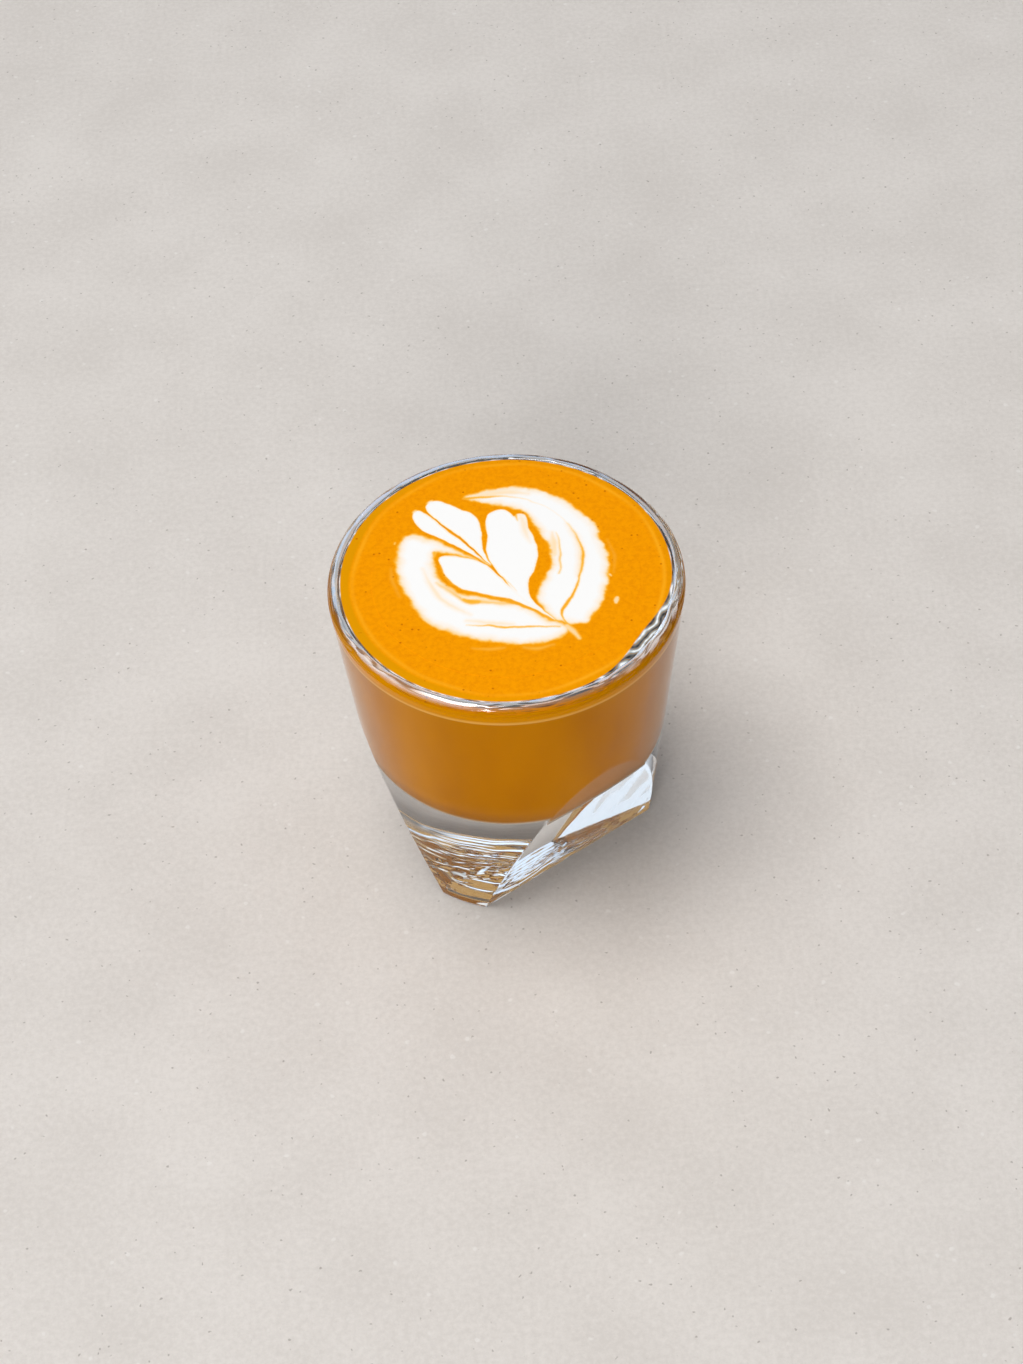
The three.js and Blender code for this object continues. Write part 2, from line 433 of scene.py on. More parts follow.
class MaterialSheet(NodeSheet):
    """A material's node tree, with the object's own coordinates and attributes at hand."""

    def __init__(self, name: str) -> None:
        """Makes the material.

        Args:
            name: its name.
        """
        self.material = bpy.data.materials.new(name)
        super().__init__(self.material)

    def place(self) -> Socket:
        """The Object coordinates."""
        return self.add("ShaderNodeTexCoord").outputs["Object"]

    def height(self) -> Socket:
        """The height above the floor, in metres."""
        return self.join(self.place(), self.add("ShaderNodeSeparateXYZ"), "Vector").outputs["Z"]

    def value_of(self, name: str) -> Socket:
        """A point attribute's value."""
        return self.add("ShaderNodeAttribute", attribute_name=name).outputs["Fac"]

    def noise(self, scale: float, detail: float, roughness: float = 0.5, at: Socket | None = None) -> Node:
        """Noise over the Object coordinates, or over others.

        Args:
            scale: how many features a metre.
            detail: how many finer layers.
            roughness: how strong the finer layers are.
            at: the other coordinates.

        Returns:
            The node.
        """
        node = self.add("ShaderNodeTexNoise", {"Scale": scale, "Detail": detail, "Roughness": roughness})
        return self.join(self.place() if at is None else at, node, "Vector")

    def over_height(self, stops: Stops) -> Socket:
        """A colour or a grey that changes with the height, given at heights in metres."""
        scaled = self.math("MULTIPLY", self.height(), RAMP_PER_METRE)
        return self.ramp(scaled, [(level * RAMP_PER_METRE, tone) for level, tone in stops])

    def line_at(self, levels: tuple[float, float, float]) -> Socket:
        """A level line: 0 at the first and the last height, and 1 at the middle one."""
        return self.over_height([(levels[0], 0.0), (levels[1], 1.0), (levels[2], 0.0)])

    def finish(self, shader: Node) -> bpy.types.Material:
        """Joins the shader to the output and returns the material."""
        self.join(shader.outputs[0], self.add("ShaderNodeOutputMaterial"), "Surface")
        return self.material


@dataclass(frozen=True)
class ClearGlass:
    """Colourless pressed glass, fire-polished, with its levels in metres above the floor.

    Its mirror image is clear in the heavy foot, weak along the wall except at a grazing angle, and strongest
    on top of the lip. Lamplight passes it as through a pane, which is darker low down. So does light that
    matt surfaces gather, except where it meets the foot's surface from inside.
    """

    colour: tuple[float, float, float, float] = (0.985, 0.992, 0.99, 1.0)
    ior: float = 1.5
    sheen: tuple[Span, ...] = ((0.028, 0.8), (0.036, 0.0), (0.0779, 0.0), (0.0784, 12.0))
    quiet: tuple[Span, ...] = ((0.036, 0.0), (0.042, 0.75), (0.0779, 0.75), (0.0784, 0.0))
    grazing: Span = (0.46, 0.72)
    foot_levels: Span = (0.028, 0.036)
    pane: tuple[tuple[float, Colour], ...] = ((0.010, (0.27, 0.26, 0.25)), (0.022, (0.88, 0.87, 0.86)))
    ripple_scale: float = 90.0
    ripple_depth: float = 0.12
    ripple_distance: float = 0.0004

    def material(self) -> bpy.types.Material:
        """The glass as a material, under a slow, shallow ripple."""
        sheet = MaterialSheet("clear_glass")
        bump = sheet.add("ShaderNodeBump", {"Strength": self.ripple_depth, "Distance": self.ripple_distance})
        sheet.join(sheet.noise(self.ripple_scale, 1.0, 0.4).outputs["Fac"], bump, "Height")
        polished = sheet.add("ShaderNodeBsdfPrincipled", {
            "Base Color": self.colour, "IOR": self.ior, "Roughness": 0.0, "Transmission Weight": 1.0})
        sheet.join(sheet.over_height(list(self.sheen)), polished, "Specular Tint")
        unmirrored = sheet.add("ShaderNodeBsdfRefraction", {
            "Color": self.colour, "IOR": self.ior, "Roughness": 0.0})
        for shader in (polished, unmirrored):
            sheet.join(bump.outputs["Normal"], shader, "Normal")
        facing = sheet.add("ShaderNodeLayerWeight", {"Blend": 0.5}).outputs["Facing"]
        frontal = sheet.rise(facing, self.grazing[1], self.grazing[0])
        glass = sheet.mix(sheet.math("MULTIPLY", sheet.over_height(list(self.quiet)), frontal),
                          polished, unmirrored)
        pane = sheet.over_height(list(self.pane))
        clear = sheet.join(pane, sheet.add("ShaderNodeBsdfTransparent"), "Color")
        return sheet.finish(sheet.mix(self.passing(sheet), glass, clear))

    def passing(self, sheet: MaterialSheet) -> Socket:
        """Where rays pass as through a pane.

        Args:
            sheet: the material's sheet.

        Returns:
            1 for rays that look for lamps, and for rays that matt surfaces gather, unless they meet the
            foot's surface from inside.
        """
        path = sheet.add("ShaderNodeLightPath").outputs
        inside = sheet.add("ShaderNodeNewGeometry").outputs["Backfacing"]
        low_down = sheet.rise(sheet.height(), self.foot_levels[1], self.foot_levels[0])
        outside = sheet.math("SUBTRACT", 1.0, sheet.math("MULTIPLY", inside, low_down))
        gathered = sheet.math("MULTIPLY", path["Is Diffuse Ray"], outside)
        return sheet.math("MAXIMUM", path["Is Shadow Ray"], gathered)


@dataclass(frozen=True)
class LipStrands:
    """Shallow strands that run round the lip, stronger at the drinker's right, pressed less evenly there."""

    depth: float = 0.075
    broad_spacing: float = 2.3
    narrow_spacing: float = 0.95
    narrow_share: float = 0.35
    narrow_turn: float = 1.7
    bends: tuple[Waviness, ...] = (Waviness(5.0, 26.0, 41), Waviness(0.4, 7.0, 44))
    broad_level: float = 0.6
    broad_drift: Waviness = Waviness(0.6, 18.0, 42)
    narrow_level: float = 0.5
    narrow_drift: Waviness = Waviness(0.8, 13.0, 43)
    strong_direction: float = -32.0
    strong_gain: float = 1.2
    strong_facing: Span = (0.5, 0.95)

    def push(self, girth: float, angle: np.ndarray, along: np.ndarray) -> np.ndarray:
        """How far the lip's surface is pushed out.

        Args:
            girth: the lip's radius.
            angle: directions in radians.
            along: distances over the lip, measured from the shoulder.

        Returns:
            Two cosines of the distance, whose phases and strengths wander slowly round the lip, squeezed by a
            hyperbolic tangent and moved inwards so that they never rise above the lip, in millimetres.
        """
        x, y = girth * np.cos(angle), girth * np.sin(angle)
        facing = np.cos(angle - math.radians(self.strong_direction))
        stronger = 1.0 + self.strong_gain * smooth_step(*self.strong_facing, facing)
        turn = sum(bend.at(x, y) for bend in self.bends)
        broad = np.cos(2.0 * math.pi * along / self.broad_spacing + turn)
        broad = broad * (self.broad_level + self.broad_drift.at(x, y))
        narrow = np.cos(2.0 * math.pi * along / self.narrow_spacing - self.narrow_turn * turn)
        narrow = narrow * (self.narrow_level + self.narrow_drift.at(x, y))
        return self.depth * (np.tanh(stronger * (broad + self.narrow_share * narrow)) - 1.0)


@dataclass(frozen=True)
class Underside:
    """The foot's underside: a flat ring that stands, and inside it a shallow, unevenly pressed hollow."""

    lift: float = 0.04
    depth: float = 0.4
    dome: float = 1.5
    step: float = 1.2
    ring_widths: Span = (0.9, 3.6)
    ring_reach: Span = (24.0, 29.5)
    girth: float = 26.0
    bend: Waviness = Waviness(4.0, 13.0, 21)
    wide_spacing: float = 6.4
    wide_depth: float = 0.22
    wide_level: float = 0.7
    wide_drift: Waviness = Waviness(0.5, 9.0, 22)
    fine_spacing: float = 2.9
    fine_depth: float = 0.065
    fine_level: float = 0.5
    fine_drift: Waviness = Waviness(0.8, 6.0, 23)
    fine_turn: float = 1.6

    def height(self, angle: np.ndarray, radius: np.ndarray, share: float) -> np.ndarray:
        """Height of the underside.

        Args:
            angle: directions in radians.
            radius: distances from the axis.
            share: how far out the row lies, from 0 at the axis to 1 at the foot's edge.

        Returns:
            The lift, plus inside the ring a depth, a dome of 1 - share^2 and ripples that run round the axis:
            a wide and a fine cosine of the radius, whose phases and strengths wander.
        """
        x, y = self.girth * np.cos(angle), self.girth * np.sin(angle)
        edge = radius / share
        low, high = self.ring_widths
        ring = low + (high - low) * smooth_step(*self.ring_reach, edge)
        hollow = smooth_step(0.0, self.step, edge - ring - radius)
        turn = self.bend.at(x, y)
        wide = np.cos(2.0 * math.pi * radius / self.wide_spacing + turn)
        wide = wide * (self.wide_level + self.wide_drift.at(x, y + radius))
        fine = np.cos(2.0 * math.pi * radius / self.fine_spacing - self.fine_turn * turn)
        fine = fine * (self.fine_level + self.fine_drift.at(x + radius, y))
        uneven = self.wide_depth * wide + self.fine_depth * fine
        return self.lift + hollow * (self.depth + self.dome * (1.0 - share**2) + uneven)


@dataclass(frozen=True)
class Tumbler:
    """The clear glass: outside with softened facets, rounded lip, cavity and foot."""

    form: GlassForm = GlassForm()
    strands: LipStrands = LipStrands()
    underside: Underside = Underside()
    edge_softness: float = 0.16
    foot_round: float = 0.5
    foot_shares: Span = (0.02, 0.97)
    foot_rows: int = 110
    bevel_steps: int = 6
    low_band: float = 6.0
    low_rows: int = 10
    wall_rows: int = 70
    lip_steps: tuple[int, int] = (40, 16)
    cavity_rows: int = 20
    floor_shares: tuple[float, ...] = (0.85, 0.6, 0.35, 0.1)
    least_reach: float = 0.05
    least_facing: float = 0.2
    facet_columns: int = 14
    facet_crowding: float = 1.8
    leg_columns: int = 34
    leg_crowding: float = 1.7
    evening_height: float = 14.0
    wave: Waviness = Waviness(0.025, 16.0, 5)
    wave_stretch: Span = (1.2, 1.1)
    wave_levels: Span = (0.5, 4.0)
    wave_margin: float = 14.0
    strand_start: float = 0.6
    strand_end: Span = (0.9, 0.2)

    def columns(self, height: np.ndarray) -> np.ndarray:
        """Angles of the grid's columns at each height, so that columns run along the facets' edges.

        Args:
            height: heights, one a row.

        Returns:
            Rows by columns of angles. Within half a facet they crowd towards its edge as 1 - (1 - s)^1.8, and
            within half a leg they crowd towards the same edge as s^1.7. Above the facets they even out.
        """
        reach = np.sqrt(self.form.facet_reach(height) ** 2 + self.least_reach**2)[:, None]
        sector = math.pi / self.form.facets
        across = 1.0 - (1.0 - np.arange(self.facet_columns) / self.facet_columns) ** self.facet_crowding
        leg = (np.arange(self.leg_columns) / self.leg_columns) ** self.leg_crowding
        half = np.hstack([reach * across, reach + (sector - reach) * leg])
        whole = np.hstack([half, np.full_like(reach, sector), 2.0 * sector - half[:, :0:-1]])
        even = np.linspace(0.0, 2.0 * sector, whole.shape[1], endpoint=False)[None, :]
        top = self.form.facet_top
        above = smooth_step(top, top + self.evening_height, height)[:, None]
        whole = whole + (even - whole) * above
        return np.hstack([whole + turn for turn in self.form.facet_angles()])

    def outer_radius(self, angle: np.ndarray, height: np.ndarray) -> np.ndarray:
        """Radius of the outside: the cone, cut by each facet's plane, its edges rounded over.

        Args:
            angle: directions in radians.
            height: heights.

        Returns:
            The rounded least of the cone's radius and each plane's distance over the cosine of the angle
            to it.
        """
        radius = self.form.body_radius(height) * np.ones_like(angle)
        for turn in self.form.facet_angles():
            facing = np.cos(angle - turn)
            cut = self.form.facet_distance(height) / np.maximum(facing, self.least_facing)
            plane = np.where(facing > self.least_facing, cut, FAR)
            radius = smooth_min(radius, plane, self.edge_softness)
        return radius

    def moulded(self, angle: np.ndarray, height: np.ndarray) -> np.ndarray:
        """The slight unevenness of pressed glass, which fades out at the foot and the shoulder.

        Args:
            angle: directions in radians.
            height: heights.

        Returns:
            Slow noise over the unrolled wall, in millimetres.
        """
        shoulder, girth = self.form.shoulder, self.form.rim_radius
        fade = 1.0 - smooth_step(shoulder - self.wave_margin, shoulder, height)
        across, along = self.wave_stretch
        x, y = girth * np.cos(angle) * across, height + girth * np.sin(angle) * along
        return smooth_step(*self.wave_levels, height) * fade * self.wave.at(x, y)

    def foot_bands(self) -> list[Band]:
        """The underside from the middle out, and the rounded edge, a quarter circle, up to the wall."""
        low = np.full(1, self.foot_round)
        angle = self.columns(low)
        edge = self.outer_radius(angle, low[:, None])
        bands = []
        for share in np.linspace(*self.foot_shares, self.foot_rows):
            radius = (edge - self.foot_round) * share
            bands.append((angle, radius, self.underside.height(angle, radius, share)))
        lift = self.underside.lift
        for turn in np.radians(np.linspace(90.0, 0.0, self.bevel_steps + 1)):
            inset = self.foot_round * (1.0 - math.cos(turn))
            rise = lift + (self.foot_round - lift) * (1.0 - math.sin(turn))
            bands.append((angle, edge - inset, np.full_like(edge, rise)))
        return bands

    def wall_band(self) -> Band:
        """The outside from the foot's edge to the shoulder, with closer rows low down."""
        low = np.linspace(self.foot_round, self.low_band, self.low_rows)[:-1]
        heights = np.concatenate([low, np.linspace(self.low_band, self.form.shoulder, self.wall_rows)])
        angle = self.columns(heights)
        level = heights[:, None] * np.ones_like(angle)
        radius = self.outer_radius(angle, level) + self.moulded(angle, level)
        return angle[1:], radius[1:], level[1:]

    def inner_band(self, angle: np.ndarray) -> Band:
        """The lip and the inside: over the lip, down the cavity's wall and in along its floor.

        Args:
            angle: the columns' directions at the shoulder.

        Returns:
            Angles, radii and heights, with the lip's strands pushed in along the profile's normal.
        """
        form = self.form
        outer_steps, inner_steps = self.lip_steps
        lip_outer = arc_profile((form.lip_top_radius, form.shoulder), (form.lip_outer_round,) * 2, 0.0, 90.0,
                                outer_steps)
        lip_inner = arc_profile((form.lip_top_radius, form.cavity_rim_height), (form.lip_inner_round,) * 2,
                                90.0, 180.0, inner_steps)
        floor = level_rows(form.cavity_floor_radius, self.floor_shares, form.cavity_floor)
        profile = np.vstack([lip_outer[1:], lip_inner[1:], form.cavity_wall(self.cavity_rows)[1:], floor])
        angle = np.repeat(angle, len(profile), axis=0)
        step = np.linalg.norm(np.diff(profile, axis=0, prepend=profile[:1]), axis=1)
        along = np.cumsum(step)[:, None]
        length = along[outer_steps + inner_steps - 1, 0]
        before, after = (length - margin for margin in self.strand_end)
        hold = smooth_step(0.0, self.strand_start, along) * (1.0 - smooth_step(before, after, along))
        push = hold * self.strands.push(form.rim_radius, angle, along)
        slope = np.gradient(profile, axis=0)
        steepness = np.maximum(np.linalg.norm(slope, axis=1), 1e-6)[:, None]
        out = np.stack([slope[:, 1], -slope[:, 0]], axis=-1) / steepness
        return angle, profile[:, :1] + out[:, :1] * push, profile[:, 1:] + out[:, 1:] * push

    def build(self) -> bpy.types.Object:
        """Makes the glass from its bands in order, and gives it its finish."""
        wall = self.wall_band()
        bands = [*self.foot_bands(), wall, self.inner_band(wall[0][-1:])]
        angle, radius, height = (np.vstack([band[i] for band in bands]) for i in range(3))
        grid = np.stack([radius * np.cos(angle), radius * np.sin(angle), height], axis=-1)
        piece = grid_piece("tumbler", grid)
        piece.data.materials.append(ClearGlass().material())
        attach(piece, ROOT)
        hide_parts("glass")
        return piece


@dataclass(frozen=True)
class MilkyCoffee:
    """Coffee and milk seen through the wall, with its levels in metres above the floor.

    It is a warm tan brown with faint upright drifts, with painted lightening towards its lower edge, where
    little light reaches, a painted glint line at the cavity's corner, and golden over its top. Its underside
    has a painted glow, an emission that stands in for light reaching it through the foot.
    """

    dark: Colour = (0.56, 0.190, 0.0)
    light: Colour = (0.68, 0.250, 0.0)
    drift_scale: tuple[float, float, float] = (70.0, 70.0, 18.0)
    # pale: painted lightening of the lower edge, in place of the light that hardly reaches it
    pale: Colour = (0.98, 0.67, 0.28)
    painted_lightening_levels: Span = (0.0306, 0.0334)
    # glint: a painted highlight line at the cavity's corner
    glint: Colour = (0.98, 0.93, 0.86)
    glint_levels: tuple[float, float, float] = (0.0304, 0.0316, 0.0325)
    # painted glow: emission on the underside that stands in for light, though the coffee is no lamp
    painted_glow: Colour = (0.95, 0.52, 0.14)
    painted_glow_levels: Span = (0.0301, 0.0306)
    painted_glow_strength: float = 0.22
    creamy: Colour = (0.80, 0.30, 0.0)
    creamy_line: Colour = (0.98, 0.58, 0.16)
    creamy_levels: tuple[float, float, float] = (0.0720, 0.0724, 0.0729)

    def material(self) -> bpy.types.Material:
        """The coffee as a material."""
        sheet = MaterialSheet("milky_coffee")
        stretched = sheet.add("ShaderNodeMapping", {"Scale": self.drift_scale})
        sheet.join(sheet.place(), stretched, "Vector")
        drift = sheet.noise(1.0, 4.0, 0.55, stretched.outputs["Vector"])
        colour = sheet.ramp(drift.outputs["Fac"], [(0.3, self.dark), (0.7, self.light)])
        height = sheet.height()
        # painted lightening towards the lower edge, standing in for light
        colour = sheet.blend(sheet.rise(height, self.painted_lightening_levels[1], self.painted_lightening_levels[0]), colour, self.pale)
        # a painted glint line just above the coffee's lower edge
        colour = sheet.blend(sheet.line_at(self.glint_levels), colour, self.glint)
        below, line, _ = self.creamy_levels
        colour = sheet.blend(sheet.over_height([(below, 0.0), (line, 1.0)]), colour, self.creamy)
        colour = sheet.blend(sheet.line_at(self.creamy_levels), colour, self.creamy_line)
        shader = sheet.add("ShaderNodeBsdfPrincipled", {
            "Roughness": 0.6, "Specular IOR Level": 0.0, "Emission Color": (*self.painted_glow, 1.0)})
        # the painted glow, only on the underside
        painted_glow = sheet.rise(height, self.painted_glow_levels[1], self.painted_glow_levels[0], (0.0, self.painted_glow_strength))
        sheet.join(painted_glow, shader, "Emission Strength")
        return sheet.finish(sheet.join(colour, shader, "Base Color"))


class Laid(Enum):
    """Whether a stroke parts the foam, letting crema through, or lays thin foam on the crema."""

    PARTS = "parts"
    ADDS = "adds"


@dataclass(frozen=True)
class Stroke:
    """A thin stroke on the drink's surface, in millimetres.

    It has a middle line, half widths that run evenly along it, the amount of foam in it, and a soft edge.
    """

    path: Points
    halves: tuple[float, ...]
    tone: float
    softness: float
    laid: Laid = Laid.PARTS
    steps: int = 14
    margin: float = 1.0

    def line(self) -> np.ndarray:
        """The middle line's points, with a half width each."""
        places = np.linspace(0.0, len(self.halves) - 1.0, len(self.path))
        halves = np.interp(places, np.arange(len(self.halves)), self.halves)
        return np.column_stack([self.path, halves])

    def cover(self, x: np.ndarray, y: np.ndarray) -> np.ndarray:
        """How fully the stroke covers each point.

        Args:
            x: the points' places to the right.
            y: their places away from the drinker.

        Returns:
            A soft step on the stroke's half width less the distance to its line.
        """
        best = np.full(x.shape, -FAR)
        for px, py, half in ease_curve(self.line(), False, self.steps):
            best = np.maximum(best, half - np.hypot(x - px, y - py))
        return smooth_step(-self.softness, self.softness, best)

    def over(self, foam: np.ndarray, x: np.ndarray, y: np.ndarray) -> np.ndarray:
        """Lays the stroke over the foam.

        Args:
            foam: how much foam there is at each point.
            x: the points' places to the right.
            y: their places away from the drinker.

        Returns:
            The new amounts: parting draws foam down towards the tone, and adding raises it to the tone.
        """
        line = self.line()
        reach = line[:, 2].max() + self.softness + self.margin
        low, high = line[:, :2].min(axis=0) - reach, line[:, :2].max(axis=0) + reach
        near = (x > low[0]) & (x < high[0]) & (y > low[1]) & (y < high[1])
        cover = np.zeros(x.shape)
        cover[near] = self.cover(x[near], y[near])
        if self.laid is Laid.ADDS:
            return np.maximum(foam, cover * self.tone)
        return np.where(foam > self.tone, foam + (self.tone - foam) * cover, foam)


@dataclass(frozen=True)
class FoamShape:
    """One leaf of the fern: a closed outline, the softness of its edge, and the thin foam just inside it."""

    outline: Points
    softness: float
    thin_share: float
    thin_width: float
    steps: int = 5

    def amount(self, x: np.ndarray, y: np.ndarray) -> np.ndarray:
        """How much foam lies at each point: a quick rise at the outline to thin foam, then a slow one."""
        depth = self.depth(x, y)
        edge = smooth_step(-self.softness, self.softness, depth)
        return edge * (1.0 - self.thin_share * (1.0 - smooth_step(0.0, self.thin_width, depth)))

    def depth(self, x: np.ndarray, y: np.ndarray) -> np.ndarray:
        """Distance to the outline, positive inside.

        Args:
            x: places to the right.
            y: places away from the drinker.

        Returns:
            The least distance to the outline's short chords, with its sign from how many of them a line to
            the side crosses.
        """
        ring = ease_curve(self.outline, True, self.steps)
        nearest = np.full(x.shape, FAR)
        inside = np.zeros(x.shape, bool)
        for (ax, ay), (bx, by) in zip(ring, np.roll(ring, -1, axis=0)):
            dx, dy = bx - ax, by - ay
            along = np.clip(((x - ax) * dx + (y - ay) * dy) / (dx**2 + dy**2), 0.0, 1.0)
            nearest = np.minimum(nearest, np.hypot(x - ax - along * dx, y - ay - along * dy))
            if ay != by:
                crosses = (ay > y) != (by > y)
                inside ^= crosses & (x < ax + (y - ay) * dx / dy)
        return np.where(inside, nearest, -nearest)


@dataclass(frozen=True)
class Fern:
    """The poured figure: leaves of foam round a stem, parted by lines of crema, with thin foam beside."""

    leaves: tuple[FoamShape, ...] = (
        FoamShape([  # the middle leaf, with its notch at the top and its stem running down to the right
            (-1.6, 20.2), (0.2, 20.3), (1.6, 19.3), (2.5, 18.0), (3.3, 18.7), (4.6, 18.4), (5.2, 16.9),
            (5.5, 14.2), (6.4, 11.4), (7.1, 8.4), (7.0, 5.0), (6.1, 1.2), (4.8, -1.8), (4.7, -4.6),
            (5.4, -7.5), (7.6, -10.6), (9.9, -13.6), (6.6, -10.6), (2.4, -6.2), (0.2, -1.9), (-2.4, 2.6),
            (-3.8, 6.2), (-4.0, 9.0), (-3.6, 12.0), (-4.0, 15.6), (-3.4, 18.6)],
            softness=0.24, thin_share=0.15, thin_width=0.8),
        FoamShape([  # the leaf to the left of the stem
            (-14.3, 6.4), (-12.2, 7.0), (-8.6, 6.1), (-5.4, 4.7), (-3.4, 2.7), (-1.2, -0.4), (1.6, -4.2),
            (5.0, -8.4), (9.4, -13.6), (5.6, -10.2), (1.2, -7.3), (-2.4, -6.1), (-6.4, -4.6), (-10.2, -2.9),
            (-12.8, -0.3), (-14.0, 3.2)], softness=0.24, thin_share=0.15, thin_width=0.8),
        FoamShape([  # the upper of the two narrow leaves
            (-16.9, 22.6), (-15.4, 24.1), (-13.0, 23.4), (-9.6, 21.1), (-6.9, 19.6), (-5.3, 16.4),
            (-4.9, 12.0), (-4.7, 8.0), (-3.2, 3.6), (-6.0, 7.6), (-9.0, 11.8), (-12.4, 15.6), (-15.4, 19.0),
            (-16.7, 21.0)], softness=0.24, thin_share=0.15, thin_width=0.7),
        FoamShape([  # the lower of the two narrow leaves
            (-18.9, 21.2), (-17.2, 20.3), (-15.3, 18.2), (-12.7, 14.9), (-9.4, 11.2), (-6.2, 7.0),
            (-3.4, 3.4), (-7.0, 6.9), (-11.0, 10.2), (-14.8, 12.9), (-17.6, 14.9), (-19.4, 17.4),
            (-20.0, 19.8)], softness=0.24, thin_share=0.15, thin_width=0.7),
        FoamShape([  # the left wing, which runs on round the front
            (-20.4, 14.1), (-17.4, 13.0), (-13.6, 10.8), (-9.6, 7.8), (-5.6, 4.7), (-9.0, 6.7), (-13.2, 7.8),
            (-15.0, 8.2), (-15.6, 5.6), (-15.2, 2.4), (-13.7, -1.0), (-11.2, -3.8), (-7.0, -5.5),
            (-2.2, -6.9), (1.8, -8.2), (5.8, -10.8), (9.3, -13.9), (11.8, -14.9), (12.6, -16.8),
            (10.2, -18.9), (5.0, -20.2), (0.0, -19.7), (-5.2, -18.5), (-10.0, -17.2), (-13.2, -15.0),
            (-16.8, -13.2), (-19.8, -8.6), (-22.0, -3.6), (-23.5, 1.8), (-23.6, 7.4), (-22.9, 11.6)],
            softness=0.7, thin_share=0.42, thin_width=2.4),
        FoamShape([  # the right wing
            (-8.6, 24.4), (-4.6, 26.2), (0.6, 27.1), (5.4, 26.9), (9.2, 25.3), (13.4, 22.6), (16.8, 18.6),
            (20.0, 14.4), (20.9, 9.6), (22.3, 4.8), (22.1, -1.4), (21.0, -7.2), (18.6, -12.2), (16.4, -15.0),
            (13.6, -15.0), (11.6, -13.9), (9.8, -13.6), (8.0, -10.5), (6.6, -7.2), (7.2, -3.9), (8.4, -0.9),
            (10.2, 3.0), (10.0, 7.6), (8.4, 11.8), (6.5, 16.0), (4.2, 19.5), (0.6, 21.3), (-4.6, 22.8)],
            softness=0.6, thin_share=0.4, thin_width=2.2),
    )
    soft_streaks: tuple[Stroke, ...] = (
        Stroke([(-18.0, 3.5), (-17.0, 0.0), (-15.5, -3.5), (-14.0, -6.0), (-12.0, -8.0), (-10.0, -9.5),
                (-8.0, -11.0)], (0.2, 0.7, 0.6, 0.2), 0.56, 0.9),
        Stroke([(-15.2, -1.0), (-13.0, -3.0), (-11.0, -5.0), (-9.5, -6.6), (-8.0, -7.3), (-6.0, -7.2),
                (-3.0, -7.8), (0.0, -8.0), (2.0, -8.3)], (0.2, 0.5, 0.7, 0.5, 0.2), 0.30, 0.6),
        Stroke([(-9.3, -6.3), (-8.0, -7.0), (-6.2, -7.2)], (0.4, 0.6, 0.4), 0.15, 0.5),
        Stroke([(-9.0, -12.6), (-5.5, -13.2), (-2.0, -13.8), (1.0, -14.2)], (0.3, 0.6, 0.3), 0.55, 0.8),
        Stroke([(-13.5, 7.1), (-9.0, 6.4), (-5.5, 4.9)], (0.25, 0.3, 0.2), 0.46, 0.35),
        Stroke([(10.6, 12.5), (10.9, 9.0), (10.6, 5.5)], (0.3, 0.8, 0.3), 0.50, 0.8),
        Stroke([(3.9, 18.4), (4.5, 15.6), (4.8, 12.6), (5.8, 9.8)], (0.5, 0.9, 0.7, 0.2), 0.62, 0.8),
        Stroke([(-21.8, 13.0), (-19.4, 13.2), (-16.8, 12.0)], (0.4, 0.8, 0.4), 0.62, 1.0),
        Stroke([(-7.8, 24.2), (-3.5, 25.2), (1.5, 25.6), (6.0, 24.8)], (0.3, 0.8, 0.7, 0.3), 0.52, 0.9),
        Stroke([(-19.0, -10.5), (-16.0, -14.0), (-12.0, -16.2), (-7.0, -18.2)], (0.3, 0.7, 0.6, 0.3),
               0.42, 0.9),
        Stroke([(14.0, 14.8), (16.0, 10.0), (16.6, 5.0), (15.6, -1.0)], (0.3, 0.8, 0.9, 0.5), 0.60, 0.9),
    )
